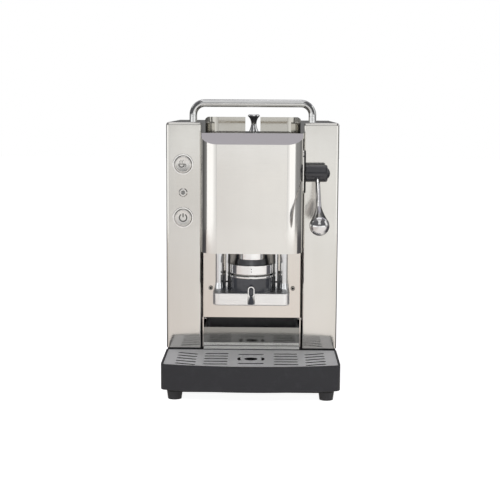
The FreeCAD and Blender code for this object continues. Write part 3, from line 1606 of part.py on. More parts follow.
makers = [
    make_base_pan, make_feet, make_left_cover, make_right_cover, make_recess_panel,
    make_pod_chute, make_top_deck, make_back_panel, make_panel_screws, make_power_inlet,
    make_drip_tray, make_grate, make_pod_bin, make_bin_front,
    make_plinth, make_guide_rods, make_guide_pins, make_pin_collars, make_pod_holder,
    make_seat_ring, make_spout, make_spout_trim,
    make_group_frame, make_shaft_bushes, make_rack_pad, make_shroud, make_bearing_plate,
    make_press_ring, make_press_seal, make_shower_screen, make_press_collar,
    make_press_piston, make_press_nuts, make_rack,
    make_pinion, make_lever_shaft, make_lever_hub, make_lever_stem, make_lever_knob,
    make_button_bezels, make_brew_button, make_power_button, make_button_switches,
    make_led_bezel, make_led_lens,
    make_handle_rail, make_handle_nuts, make_cup_fence,
    make_water_tank, make_tank_lid, make_lid_knob, make_tank_shelf, make_tank_seat,
    make_boiler, make_boiler_bracket, make_feed_pipe, make_pump, make_pump_mounts,
    make_water_hoses, make_control_board,
]

os.makedirs("parts", exist_ok=True)
for make in makers:
    name = make.__name__[len("make_"):]
    shape = make()
    shape.translate(vec(0, front_y, 0))
    if not shape.isValid():
        print("not valid:", name)
    shape.exportStep(os.path.join("parts", name + ".step"))
print("front_y", round(front_y, 3), "press_travel", round(press_travel, 3))
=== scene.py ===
import math

import bmesh
import bpy
from mathutils import Matrix, Vector


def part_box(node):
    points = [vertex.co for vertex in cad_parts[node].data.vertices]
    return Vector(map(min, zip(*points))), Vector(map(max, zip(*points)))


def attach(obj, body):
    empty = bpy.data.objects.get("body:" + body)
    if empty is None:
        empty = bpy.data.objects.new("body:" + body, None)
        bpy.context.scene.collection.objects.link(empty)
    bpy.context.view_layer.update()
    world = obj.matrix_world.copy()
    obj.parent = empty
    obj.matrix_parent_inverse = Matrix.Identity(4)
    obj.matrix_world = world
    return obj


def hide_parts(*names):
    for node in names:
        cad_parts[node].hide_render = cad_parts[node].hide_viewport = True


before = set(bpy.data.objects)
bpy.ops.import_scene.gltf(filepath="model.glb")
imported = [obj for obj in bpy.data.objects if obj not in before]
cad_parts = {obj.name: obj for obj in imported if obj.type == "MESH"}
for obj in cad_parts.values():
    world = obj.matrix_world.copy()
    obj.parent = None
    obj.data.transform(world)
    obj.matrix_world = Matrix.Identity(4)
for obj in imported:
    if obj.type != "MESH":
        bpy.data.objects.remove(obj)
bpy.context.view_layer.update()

MM = 0.001
columns_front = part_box("left_cover")[0].y


# Camera, at the photograph's place, its angles in radians

CAMERA_X = 14.7 * MM
CAMERA_BACK = 1443.1 * MM
CAMERA_Z = 344.6 * MM
CAMERA_PITCH = 0.12262
CAMERA_YAW = 0.01185
CAMERA_ROLL = 0.0058
CAMERA_REACH = 50
SENSOR = 36.0
FOCAL_PIXELS = 1187.5
PHOTO_PIXELS = 500


def add_camera():
    """Camera where the photograph was taken, worked out from the machine's edges in it."""
    data = bpy.data.cameras.new("camera")
    data.sensor_width = SENSOR
    data.lens = SENSOR * FOCAL_PIXELS / PHOTO_PIXELS
    data.clip_end = CAMERA_REACH
    camera = bpy.data.objects.new("camera", data)
    bpy.context.scene.collection.objects.link(camera)
    ahead = Vector((-math.sin(CAMERA_YAW) * math.cos(CAMERA_PITCH),
                    math.cos(CAMERA_YAW) * math.cos(CAMERA_PITCH), -math.sin(CAMERA_PITCH)))
    turn = ahead.to_track_quat("-Z", "Y").to_matrix() @ Matrix.Rotation(CAMERA_ROLL, 3, "Z")
    place = Vector((CAMERA_X, columns_front - CAMERA_BACK, CAMERA_Z))
    camera.matrix_world = Matrix.Translation(place) @ turn.to_4x4()
    bpy.context.scene.camera = camera


# Shader maths: an expression on values adds the Math nodes it needs

class Value:
    """A socket that can be added, multiplied and compared."""

    def __init__(self, finish, socket):
        self.finish = finish
        self.socket = socket

    def __add__(self, other):
        return self.finish.maths("ADD", self, other)

    def __radd__(self, other):
        return self.finish.maths("ADD", other, self)

    def __mul__(self, other):
        return self.finish.maths("MULTIPLY", self, other)

    def __rmul__(self, other):
        return self.finish.maths("MULTIPLY", other, self)

    def __gt__(self, other):
        return self.finish.maths("GREATER_THAN", self, other)

    def __lt__(self, other):
        return self.finish.maths("LESS_THAN", self, other)


class Finish:
    """A material with one main shader, whose nodes are added by name."""

    def __init__(self, name, **constants):
        self.material = bpy.data.materials.new(name)
        self.material.use_nodes = True
        self.tree = self.material.node_tree
        self.shader = self.tree.nodes["Principled BSDF"]
        for socket, value in constants.items():
            self.set(socket.replace("_", " "), value)
        self.place = self.node("ShaderNodeTexCoord", output="Object")

    def node(self, kind, settings=None, inputs=None, output=0):
        """Adds a node: its settings first, then the values or links of its sockets."""
        new = self.tree.nodes.new(kind)
        for key, value in (settings or {}).items():
            setattr(new, key, value)
        for key, value in (inputs or {}).items():
            self.feed(new.inputs[key], value)
        return Value(self, new.outputs[output])

    def feed(self, socket, value):
        if isinstance(value, Value):
            self.tree.links.new(value.socket, socket)
        elif socket.type == "RGBA":
            socket.default_value = (*value, 1)
        else:
            socket.default_value = value

    def set(self, socket, value):
        self.feed(self.shader.inputs[socket], value)

    def maths(self, operation, first, second):
        return self.node("ShaderNodeMath", {"operation": operation}, {0: first, 1: second})

    def along(self, axis):
        """One coordinate of the place on the piece, in metres."""
        return self.node("ShaderNodeSeparateXYZ", None, {"Vector": self.place}, axis)

    def between(self, value, low, high):
        """1 where the value lies between two limits, and 0 elsewhere."""
        return (value > low) * (value < high)

    def mapped(self, scale=(1, 1, 1), turn=(0, 0, 0)):
        """The place on the piece, stretched or turned."""
        return self.node("ShaderNodeMapping", None,
                         {"Vector": self.place, "Scale": scale, "Rotation": turn})

    def noise(self, scale, detail=2.0, rough=0.5, place=None):
        return self.node("ShaderNodeTexNoise", None,
                         {"Vector": place or self.place, "Scale": scale, "Detail": detail,
                          "Roughness": rough})

    def spread(self, value, low=0.0, high=1.0, from_low=0.3, from_high=0.7):
        """A value's middle range taken to a new range."""
        return self.node("ShaderNodeMapRange", None,
                         {"Value": value, "From Min": from_low, "From Max": from_high,
                          "To Min": low, "To Max": high})

    def mix(self, factor, first, second):
        return self.node("ShaderNodeMix", {"data_type": "RGBA"},
                         {0: factor, 6: first, 7: second}, 2)

    def bump(self, height, distance):
        self.set("Normal", self.node("ShaderNodeBump", None,
                                     {"Distance": distance, "Height": height}))


def scaled(tone, share, lift=0.0):
    """A darker or lighter tone."""
    return tuple(part * share + lift for part in tone)


# Finishes of this machine

# Scale of a pattern along its lines, against 1 across them
LINES_ALONG = 0.04
BRUSHED_ALONG = 0.02
TURNED_ROUND = 0.03
CLOUD_SHARE = 0.7
# Height of the bin's brushed pull, which also carries a painted highlight, and the band and tone
# of the painted shade in its crease
PULL_HEIGHT = 7.7 * MM
PULL_CREASE = (3.3 * MM, 4.2 * MM)
CREASE_SHADE_TONE = (0.14, 0.14, 0.13)
# Depths and tone of the painted shade in the screw heads' driving sockets
SOCKET_DEPTHS = (0.8 * MM, 1.6 * MM)
SOCKET_SHADE_TONE = (0.01, 0.01, 0.01)
# Depth below the grate's top, and tone, of the painted shade on its slot walls
SLOT_RIM = 0.12 * MM
SLOT_SHADE_TONE = (0.02, 0.02, 0.022)
finishes = {}


def polished_steel(name, tone, warm, clouds, waviness, edge=1.0, metal=1.0, dull=1.0):
    """Mirror-polished sheet: cloudy tint, faint polishing lines and a slight waviness."""
    finish = Finish(name, Metallic=metal, Specular_Tint=(edge, edge, edge))
    cloud = finish.spread(finish.noise(clouds, detail=3.0, rough=0.55))
    streak = finish.spread(finish.noise(160, detail=3.0, rough=0.6,
                                        place=finish.mapped((1, 1, LINES_ALONG))))
    color = finish.mix(cloud * CLOUD_SHARE + streak * (1 - CLOUD_SHARE), tone, warm)
    lines = finish.noise(900, rough=0.6, place=finish.mapped((LINES_ALONG, 1, 1)))
    smears = finish.noise(26, detail=4.0, rough=0.6)
    finish.set("Base Color", color)
    finish.set("Roughness", finish.spread(smears, 0.05 * dull, 0.11 * dull)
               + finish.spread(lines, 0.0, 0.03 * dull))
    dents = finish.noise(11, detail=1.0, rough=0.4)
    grain = finish.noise(2400, detail=1.0)
    finish.bump(dents + grain * 0.004, waviness)
    return finish.material


def turned_steel(name, tone, edge=1.0):
    """Bright turned rod or ring with fine rings round its axis."""
    finish = Finish(name, Metallic=1.0, Specular_Tint=(edge, edge, edge))
    rings = finish.noise(1500, detail=1.0, place=finish.mapped((TURNED_ROUND, TURNED_ROUND, 1)))
    haze = finish.noise(60, detail=3.0)
    finish.set("Base Color", finish.mix(finish.spread(haze), tone, scaled(tone, 0.94)))
    finish.set("Roughness", finish.spread(rings, 0.07, 0.13))
    finish.bump(rings, 0.02 * MM)
    return finish.material


def satin_steel(name, tone, along, grain, rough=0.26):
    """Brushed sheet, its lines along one axis."""
    finish = Finish(name, Metallic=1.0)
    stretch = tuple(BRUSHED_ALONG if axis == along else 1.0 for axis in "xyz")
    lines = finish.noise(grain, detail=3.0, rough=0.7, place=finish.mapped(stretch))
    haze = finish.noise(18, detail=3.0)
    finish.set("Base Color", finish.mix(finish.spread(lines, 0.2, 0.8), tone,
                                        scaled(tone, 0.82)))
    finish.set("Roughness", finish.spread(lines, rough, rough + 0.12)
               + finish.spread(haze, -0.03, 0.04))
    finish.bump(lines, 0.03 * MM)
    return finish.material


def pressed_grey(name, tone):
    """Satin pressed plate with a fine even grain, faint stains, and painted shade on its slot
    walls.
    """
    finish = Finish(name, Metallic=0.05)
    grain = finish.noise(1600, rough=0.6)
    stain = finish.noise(22, detail=4.0, rough=0.6)
    # Painted shade: all below the top face, the slot walls, is painted dark
    painted_slot_shade = finish.along("Z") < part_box("grate")[1].z - SLOT_RIM
    plate = finish.mix(finish.spread(stain, 0.0, 0.7), tone, scaled(tone, 0.86))
    finish.set("Base Color", finish.mix(painted_slot_shade, plate, SLOT_SHADE_TONE))
    finish.set("Roughness", finish.spread(grain, 0.30, 0.42) + painted_slot_shade * 0.5)
    finish.bump(grain, 0.03 * MM)
    return finish.material


def bin_polish(name, face, lit_lip):
    """Polished front of the used pod bin, with a brushed pull along its foot that is also painted
    brighter as a painted highlight, and a line of painted shade in its crease.
    """
    finish = Finish(name, Metallic=1.0)
    height = finish.along("Z")
    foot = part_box("bin_front")[0].z
    # The pull is really brushed, and its light tone is a painted highlight
    brushed_pull_and_highlight = height < foot + PULL_HEIGHT
    # Painted shade along the crease
    crease = finish.between(height, foot + PULL_CREASE[0], foot + PULL_CREASE[1])
    cloud = finish.spread(finish.noise(9, detail=3.0, rough=0.55))
    lines = finish.noise(1400, detail=3.0, rough=0.7,
                         place=finish.mapped((BRUSHED_ALONG, 1, 1)))
    steel = finish.mix(cloud, face, scaled(face, 0.92))
    brushed = finish.mix(lines, lit_lip, scaled(lit_lip, 0.86))
    finish.set("Base Color", finish.mix(crease, finish.mix(brushed_pull_and_highlight, steel, brushed), CREASE_SHADE_TONE))
    finish.set("Roughness", finish.spread(lines, 0.06, 0.1) + brushed_pull_and_highlight * 0.2)
    finish.bump(lines, 0.01 * MM)
    return finish.material


def moulded(name, tone, rough, grain, depth, coat=0.0):
    """Moulded plastic with a fine texture, faint streaks and a little dust."""
    finish = Finish(name, Coat_Weight=coat, Specular_IOR_Level=0.35)
    spots = finish.node("ShaderNodeTexVoronoi", {"feature": "SMOOTH_F1"},
                        {"Vector": finish.place, "Scale": grain, "Smoothness": 0.6})
    dust = finish.spread(finish.noise(70, detail=5.0, rough=0.65), from_low=0.5, from_high=0.8)
    flow = finish.noise(14, place=finish.mapped((1, 1, 3)))
    finish.set("Base Color", finish.mix(dust * finish.spread(flow, 0.3, 1.0), tone,
                                        scaled(tone, 1.35, lift=0.008)))
    finish.set("Roughness", finish.spread(flow, rough - 0.04, rough + 0.05) + dust * 0.05)
    finish.bump(spots, depth)
    return finish.material


def galvanised(name, dark, light):
    """Zinc-plated sheet with its frosted crystals."""
    finish = Finish(name, Metallic=0.9)
    crystals = finish.node("ShaderNodeTexVoronoi", None,
                           {"Vector": finish.place, "Scale": 150}, "Color")
    shade = finish.node("ShaderNodeSeparateColor", None, {"Color": crystals})
    finish.set("Base Color", finish.mix(shade, dark, light))
    finish.set("Roughness", finish.spread(shade, 0.32, 0.5, 0, 1))
    finish.bump(finish.noise(400), 0.03 * MM)
    return finish.material


def cast_metal(name, tone):
    """Cast or blacked metal with a rough skin and darker stains."""
    finish = Finish(name, Metallic=0.9)
    skin = finish.noise(700, detail=4.0, rough=0.6)
    stain = finish.noise(35, detail=3.0, rough=0.6)
    finish.set("Base Color", finish.mix(finish.spread(stain), tone, scaled(tone, 0.75)))
    finish.set("Roughness", finish.spread(skin, 0.42, 0.6))
    finish.bump(skin, 0.15 * MM)
    return finish.material


def socket_screw(name, tone):
    """Dull screw head with painted shade in its driving socket."""
    finish = Finish(name, Metallic=0.9)
    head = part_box("panel_screws")[0].y
    # Painted shade: the socket's band of depth is painted dark
    socket = finish.between(finish.along("Y"), head + SOCKET_DEPTHS[0],
                            head + SOCKET_DEPTHS[1])
    skin = finish.noise(500, detail=3.0, rough=0.6)
    plate = finish.mix(finish.spread(skin), tone, scaled(tone, 0.8))
    finish.set("Base Color", finish.mix(socket, plate, SOCKET_SHADE_TONE))
    finish.set("Roughness", finish.spread(skin, 0.3, 0.42) + socket * 0.5)
    finish.bump(skin, 0.05 * MM)
    return finish.material


def circuit_board(name, lacquer, track):
    """Green lacquer with a pattern of paler tracks."""
    finish = Finish(name)
    tracks = finish.node("ShaderNodeTexBrick", {"offset": 0.5},
                         {"Vector": finish.mapped(turn=(0, math.pi / 2, 0)), "Scale": 90,
                          "Mortar Size": 0.03}, "Fac")
    finish.set("Base Color", finish.mix(tracks, lacquer, track))
    finish.set("Roughness", finish.spread(finish.noise(120, detail=3.0), 0.28, 0.42))
    finish.bump(tracks, 0.1 * MM)
    return finish.material


def clear_plastic(name, tone):
    """Thin clear moulding, a little milky."""
    finish = Finish(name, IOR=1.49, Transmission_Weight=0.85)
    haze = finish.noise(30, detail=3.0)
    finish.set("Base Color", finish.mix(finish.spread(haze), tone, scaled(tone, 0.93)))
    finish.set("Roughness", finish.spread(haze, 0.08, 0.2))
    finish.bump(finish.noise(90), 0.05 * MM)
    return finish.material


def soft_rubber(name, tone, rough=0.62):
    """Dull rubber with a fine grain and a little wear."""
    finish = Finish(name)
    grain = finish.noise(1100, detail=3.0, rough=0.6)
    wear = finish.noise(40, detail=3.0, rough=0.6)
    finish.set("Base Color", finish.mix(finish.spread(wear), tone,
                                        scaled(tone, 1.3, lift=0.006)))
    finish.set("Roughness", finish.spread(grain, rough - 0.08, rough + 0.08))
    finish.bump(grain, 0.06 * MM)
    return finish.material


def make_steels():
    finishes["cover"] = polished_steel("cover_polish", (0.765, 0.755, 0.725), (0.715, 0.70, 0.66),
                                       clouds=7, waviness=0.16 * MM)
    finishes["shroud"] = polished_steel("shroud_polish", (0.79, 0.775, 0.745),
                                        (0.755, 0.735, 0.70), clouds=6, waviness=0.12 * MM,
                                        edge=0.5)
    finishes["recess"] = polished_steel("recess_polish", (0.735, 0.70, 0.655),
                                        (0.705, 0.655, 0.605), clouds=9, waviness=0.12 * MM)
    finishes["fence"] = polished_steel("fence_polish", (0.58, 0.57, 0.53), (0.53, 0.51, 0.46),
                                       clouds=12, waviness=0.04 * MM, metal=0.8, dull=0.3)
    # The lip's tone is partly the brushed pull's own and partly a painted highlight
    finishes["bin_front"] = bin_polish("bin_polish", face=(0.315, 0.315, 0.30),
                                       lit_lip=(0.98, 0.98, 0.95))
    finishes["turned"] = turned_steel("turned_bright", (0.94, 0.945, 0.945), edge=0.7)
    finishes["knob"] = turned_steel("knob_bright", (0.80, 0.80, 0.80), edge=0.15)
    finishes["stem"] = turned_steel("stem_bright", (0.91, 0.91, 0.905), edge=0.2)
    # Lighter copy of the turned steel: painted light making up for the shade of the shroud over
    # the piston
    finishes["piston"] = turned_steel("piston_painted_light", (0.98, 0.98, 0.975))
    finishes["rods"] = turned_steel("rod_bright", (0.76, 0.77, 0.785), edge=0.3)
    finishes["rail"] = turned_steel("rail_bright", (0.70, 0.705, 0.70))
    finishes["bezel"] = satin_steel("bezel_bright", (1.0, 0.99, 0.965), "z", 2000, rough=0.07)
    finishes["plinth"] = satin_steel("plinth_bright", (1.0, 1.0, 0.99), "x", 1800)
    finishes["satin"] = satin_steel("satin_sheet", (0.60, 0.595, 0.58), "x", 1400)
    finishes["cap"] = satin_steel("cap_satin", (0.93, 0.915, 0.885), "z", 2200, rough=0.22)
    finishes["plain_steel"] = satin_steel("machined_steel", (0.52, 0.52, 0.52), "z", 900)
    finishes["grate"] = pressed_grey("grate_satin", (0.97, 0.972, 0.99))
    finishes["screw"] = socket_screw("socket_screw", (0.52, 0.50, 0.47))


def make_other_metals():
    finishes["zinc"] = galvanised("zinc_sheet", (0.50, 0.52, 0.54), (0.66, 0.67, 0.68))
    finishes["dark_screw"] = cast_metal("blacked_screw", (0.44, 0.42, 0.39))
    finishes["cast"] = cast_metal("cast_aluminium", (0.55, 0.56, 0.57))
    finishes["brass"] = cast_metal("turned_brass", (0.66, 0.48, 0.22))
    finishes["copper"] = cast_metal("copper_pipe", (0.72, 0.36, 0.22))


def make_plastics():
    finishes["tray"] = moulded("tray_black", (0.045, 0.0455, 0.052), rough=0.42, grain=1500,
                               depth=0.04 * MM)
    finishes["bin"] = moulded("bin_grey", (0.60, 0.60, 0.62), rough=0.5, grain=1400,
                              depth=0.05 * MM)
    finishes["black"] = moulded("black_moulding", (0.018, 0.018, 0.019), rough=0.45, grain=1400,
                                depth=0.05 * MM)
    finishes["hub"] = moulded("hub_black", (0.050, 0.050, 0.057), rough=0.30, grain=1700,
                              depth=0.02 * MM, coat=0.5)
    finishes["gloss_black"] = moulded("holder_black", (0.076, 0.081, 0.096), rough=0.14,
                                      grain=1800, depth=0.008 * MM, coat=0.7)
    finishes["collar"] = moulded("collar_black", (0.22, 0.223, 0.238), rough=0.22, grain=1800,
                                 depth=0.01 * MM, coat=1.0)
    finishes["mark"] = moulded("mark_ink", (0.10, 0.10, 0.095), rough=0.5, grain=2000,
                               depth=0.01 * MM)
    finishes["lens"] = moulded("lamp_lens", (0.40, 0.40, 0.39), rough=0.2, grain=1500,
                               depth=0.01 * MM, coat=0.5)
    finishes["clear"] = clear_plastic("tank_clear", (0.86, 0.89, 0.91))


def make_rubbers_and_board():
    finishes["rubber"] = soft_rubber("foot_rubber", (0.048, 0.048, 0.052))
    finishes["silicone"] = soft_rubber("silicone", (0.72, 0.70, 0.66), rough=0.45)
    finishes["board"] = circuit_board("circuit_board", lacquer=(0.015, 0.10, 0.04),
                                      track=(0.10, 0.26, 0.08))


node_finish = {
    "base_pan": "black", "feet": "rubber", "left_cover": "cover", "right_cover": "cover",
    "recess_panel": "recess", "pod_chute": "zinc", "top_deck": "fence", "back_panel": "satin",
    "panel_screws": "screw", "power_inlet": "black", "drip_tray": "tray", "grate": "grate",
    "pod_bin": "bin", "bin_front": "bin_front", "plinth": "plinth", "guide_rods": "rods",
    "guide_pins": "rods", "pin_collars": "rubber", "pod_holder": "gloss_black",
    "seat_ring": "turned", "spout": "gloss_black", "spout_trim": "turned",
    "bearing_plate": "black", "group_frame": "cast", "shaft_bushes": "brass",
    "rack_pad": "brass", "shroud": "shroud", "press_ring": "turned", "press_seal": "silicone",
    "shower_screen": "satin", "press_collar": "collar", "press_piston": "piston",
    "press_nuts": "dark_screw", "rack": "plain_steel", "pinion": "plain_steel",
    "lever_shaft": "plain_steel", "lever_hub": "hub", "lever_stem": "stem",
    "lever_knob": "knob", "button_bezels": "bezel", "brew_button": "cap",
    "power_button": "cap", "button_switches": "black", "led_bezel": "cap", "led_lens": "lens",
    "handle_rail": "rail", "handle_nuts": "zinc", "cup_fence": "fence", "water_tank": "clear",
    "tank_lid": "black", "lid_knob": "turned", "tank_shelf": "zinc", "tank_seat": "silicone",
    "boiler": "plain_steel", "boiler_bracket": "zinc", "feed_pipe": "copper", "pump": "black",
    "pump_mounts": "rubber", "water_hoses": "silicone", "control_board": "board",
}

WELD_DISTANCE = 0.002 * MM
SMOOTH_ANGLE = 32
FULL_FACE_WEIGHT = 100


def even_normals(piece):
    """Shading that keeps the large faces of a piece flat."""
    even = piece.modifiers.new("even", "WEIGHTED_NORMAL")
    even.weight = FULL_FACE_WEIGHT
    even.keep_sharp = True


def dress_nodes():
    """Materials for the carried-over nodes, and smooth shading over their curved faces."""
    for name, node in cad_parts.items():
        mesh = node.data
        mesh.materials.clear()
        mesh.materials.append(finishes[node_finish[name]])
        mesh.shade_smooth()
        weld = node.modifiers.new("weld", "WELD")
        weld.merge_threshold = WELD_DISTANCE
        split = node.modifiers.new("split", "EDGE_SPLIT")
        split.split_angle = math.radians(SMOOTH_ANGLE)
        split.use_edge_sharp = False
        even_normals(node)


# Pieces made here

# Small distances: beside a face, beside a line, between points to weld, and of a cut
CLOSE = 0.1 * MM
HAIR = 0.01 * MM
SEAM = 0.001 * MM
CUT = 0.0001 * MM
BACK = Vector((0, 1, 0))


def make_object(name, shape):
    """A mesh object from a bmesh."""
    mesh = bpy.data.meshes.new(name)
    shape.to_mesh(mesh)
    shape.free()
    made = bpy.data.objects.new(name, mesh)
    bpy.context.scene.collection.objects.link(made)
    return made


def add_piece(name, shape, finish, body, replaced=(), sharp=30):
    """A piece from a bmesh, shaded smooth up to an angle, riding on a body."""
    bmesh.ops.recalc_face_normals(shape, faces=shape.faces)
    piece = make_object(name, shape)
    piece.data.shade_smooth()
    piece.data.set_sharp_from_angle(angle=math.radians(sharp))
    piece.data.materials.append(finishes[finish])
    even_normals(piece)
    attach(piece, body)
    if replaced:
        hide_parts(*replaced)


def block(shape, low, high):
    """Adds a block between two corners and returns its edges."""
    verts = bmesh.ops.create_cube(shape, size=1)["verts"]
    bmesh.ops.scale(shape, vec=high - low, verts=verts)
    bmesh.ops.translate(shape, vec=(low + high) / 2, verts=verts)
    return {edge for vert in verts for edge in vert.link_edges}


def rounded(shape, edges, size, steps):
    """Turns sharp edges into rounds."""
    bmesh.ops.bevel(shape, geom=edges, offset=size, offset_type="OFFSET", segments=steps,
                    profile=0.5, affect="EDGES", material=-1)


def turned(shape, outline, centre, steps=72):
    """Adds a turned form: an outline of (radius, distance back) spun about its axis."""
    side = BACK.orthogonal().normalized()
    points = [shape.verts.new(centre + side * radius + BACK * deep) for radius, deep in outline]
    edges = [shape.edges.new(pair) for pair in zip(points, points[1:])]
    bmesh.ops.spin(shape, geom=points + edges, cent=centre, axis=BACK, angle=2 * math.pi,
                   steps=steps, use_merge=True, use_duplicate=False)
    bmesh.ops.remove_doubles(shape, verts=shape.verts, dist=SEAM)


def quarter_round(radius, size, steps):
    """Points of a turned outline round its front edge, from the face out to the side."""
    turns = [math.pi / 2 * step / steps for step in range(steps + 1)]
    return [(radius - size + size * math.sin(turn), size - size * math.cos(turn))
            for turn in turns]


def front_centre(node):
    """Middle of a node's box, at its front."""
    low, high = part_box(node)
    return Vector(((low.x + high.x) / 2, low.y, (low.z + high.z) / 2))


# Shroud

SHROUD_SHEET = 1.2 * MM
SHROUD_CORNER = 20 * MM
SLOPE_DEPTH = 25 * MM
SLOPE_DROP = 12.7 * MM
DECK_GAP = 0.3 * MM
BACK_LIP = 1.5 * MM
PAD_MARGIN = 0.8 * MM
PAD_SUNK = 0.6 * MM
PAD_RIM = 0.7 * MM
SHARP_TURN = 1.0


def add_bearing_pad(shape, side):
    """Raised pad with round ends and a soft rim, under the lever's bearing plate."""
    low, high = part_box("bearing_plate")
    inner = Vector((side - PAD_SUNK, low.y - PAD_MARGIN, low.z - PAD_MARGIN))
    outer = Vector((low.x, high.y + PAD_MARGIN, high.z + PAD_MARGIN))
    ends = [edge for edge in block(shape, inner, outer)
            if abs(edge.verts[0].co.x - edge.verts[1].co.x) > (outer.x - inner.x) / 2]
    rounded(shape, ends, (outer.y - inner.y) / 2 - HAIR, steps=14)
    rim = [edge for edge in shape.edges
           if all(abs(vert.co.x - low.x) < HAIR for vert in edge.verts)
           and len(edge.link_faces) == 2 and edge.calc_face_angle(0) > SHARP_TURN]
    rounded(shape, rim, PAD_RIM, steps=4)


def slice_shape(shape, place, normal, clear=False):
    """Cuts the shape along a plane, and clears what lies outside it if wanted."""
    everything = shape.verts[:] + shape.edges[:] + shape.faces[:]
    return bmesh.ops.bisect_plane(shape, geom=everything, plane_co=place, plane_no=normal,
                                  clear_outer=clear, dist=CUT)["geom_cut"]


def cut_slope(shape, low, high):
    """Slopes the top's front edge and closes the cut."""
    knee = Vector((0, low.y + SLOPE_DEPTH, high.z))
    cut = slice_shape(shape, knee, Vector((0, -SLOPE_DROP, SLOPE_DEPTH)), clear=True)
    crease = [edge for edge in cut if isinstance(edge, bmesh.types.BMEdge)]
    bmesh.ops.holes_fill(shape, edges=crease, sides=0)


def open_back_and_foot(shape, low, high):
    """Takes away the foot, the back, and a strip above the deck along the back."""
    deck_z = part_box("top_deck")[0].z - DECK_GAP
    lip_y = high.y - BACK_LIP
    slice_shape(shape, Vector((0, 0, deck_z)), Vector((0, 0, 1)))
    slice_shape(shape, Vector((0, lip_y, 0)), BACK)
    gone = []
    for face in shape.faces:
        middle = face.calc_center_median()
        foot_or_back = middle.z < low.z + CLOSE or middle.y > high.y - CLOSE
        if foot_or_back or (middle.y > lip_y and middle.z > deck_z):
            gone.append(face)
    bmesh.ops.delete(shape, geom=gone, context="FACES")


def make_shroud():
    """Folded sheet with round front edges and a crisp crease below its sloped top."""
    low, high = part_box("shroud")
    # The node's box also holds the pad, on the right, so the right side mirrors the left
    high.x = -low.x
    shape = bmesh.new()
    block(shape, low, high)
    upright = [edge for edge in shape.edges
               if edge.verts[0].co.y < low.y + MM > edge.verts[1].co.y
               and abs(edge.verts[0].co.z - edge.verts[1].co.z) > SHROUD_CORNER]
    rounded(shape, upright, SHROUD_CORNER, steps=20)
    cut_slope(shape, low, high)
    open_back_and_foot(shape, low, high)
    bmesh.ops.recalc_face_normals(shape, faces=shape.faces)
    outside = max(shape.faces, key=lambda face: face.calc_area())
    if outside.normal.dot(outside.calc_center_median() - (low + high) / 2) < 0:
        bmesh.ops.reverse_faces(shape, faces=shape.faces)
    bmesh.ops.solidify(shape, geom=shape.faces, thickness=SHROUD_SHEET)
    add_bearing_pad(shape, high.x)
    add_piece("shroud_sheet", shape, "shroud", "machine", ["shroud"],
              sharp=12)


# Buttons and their rims

CAP_DEPTH = 9.5 * MM
CAP_ROUND = 0.9 * MM
PLUNGER_RADIUS = 3 * MM
# The cap's dished face with its groove: share of the cap's radius, and distance back
CAP_FACE = ((0, 0.5 * MM), (0.4, 0.45 * MM), (0.7, 0.25 * MM), (0.80, 0.1 * MM),
            (0.82, 0.3 * MM), (0.85, 0.3 * MM), (0.87, 0.03 * MM))
RIM_RADIUS = 12.75 * MM
RIM_ROUND = 0.4 * MM
RIM_STEPS = (0.6 * MM, 1.4 * MM)
RIM_BARREL = 11.3 * MM
RIM_BORE = 10.75 * MM
RIM_CHAMFER = 0.2 * MM


def make_button(node):
    """Turned cap with a shallow dish, a fine groove and a round edge, and its plunger."""
    low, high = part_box(node)
    radius = (high.x - low.x) / 2
    outline = [(radius * share, deep) for share, deep in CAP_FACE]
    outline += quarter_round(radius, CAP_ROUND, steps=4)
    outline += [(radius, CAP_DEPTH), (PLUNGER_RADIUS, CAP_DEPTH),
                (PLUNGER_RADIUS, high.y - low.y), (0, high.y - low.y)]
    shape = bmesh.new()
    turned(shape, outline, front_centre(node))
    add_piece(node + "_cap", shape, "cap", node, [node])


def make_bezels():
    """Two turned rims with a rounded shoulder and a fine step at the sheet."""
    low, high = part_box("button_bezels")
    back = high.y - low.y
    outline = [(RIM_BORE, back), (RIM_BARREL, back), (RIM_BARREL, RIM_STEPS[1]),
               (RIM_RADIUS, RIM_STEPS[1]), (RIM_RADIUS, RIM_STEPS[0])]
    # Inwards this time, and without the point on the side itself
    outline += quarter_round(RIM_RADIUS, RIM_ROUND, steps=6)[-2::-1]
    outline += [(RIM_BORE + RIM_CHAMFER, 0), (RIM_BORE, RIM_CHAMFER), (RIM_BORE, back)]
    shape = bmesh.new()
    for button in ("brew_button", "power_button"):
        centre = front_centre(button)
        centre.y = low.y
        turned(shape, outline, centre)
    add_piece("bezel_rims", shape, "bezel", "machine", ["button_bezels"])


# Marks on the buttons, and discs of painted shade in the press ring's holes

MARK_FRONT = 0.28 * MM
MARK_BACK = 0.6 * MM
STEP_DEGREES = 9
HOLE_RADIUS = 0.6 * MM
HOLE_HEIGHT = 1.6 * MM
DISC_PROUD = 0.04 * MM
DISC_THICK = 0.3 * MM


def inlay_ring(shape, centre, radius, width, start, end, front=MARK_FRONT):
    """Adds part of a flat ring, spun from its small cross-section between two angles."""
    begin = math.radians(start)
    ray = Vector((math.cos(begin), 0, math.sin(begin)))
    inner, outer = (centre + ray * (radius + width * side / 2) for side in (-1, 1))
    verts = [shape.verts.new(point + BACK * deep) for point, deep in
             ((inner, front), (outer, front), (outer, MARK_BACK), (inner, MARK_BACK))]
    edges = [shape.edges.new((verts[i], verts[i - 1])) for i in range(4)]
    steps = max(4, round((end - start) / STEP_DEGREES))
    bmesh.ops.spin(shape, geom=verts + edges, cent=(centre.x, 0, centre.z), axis=(0, -1, 0),
                   angle=math.radians(end - start), steps=steps, use_duplicate=False)
    open_edges = [edge for edge in shape.edges if len(edge.link_faces) == 1]
    bmesh.ops.holes_fill(shape, edges=open_edges, sides=4)


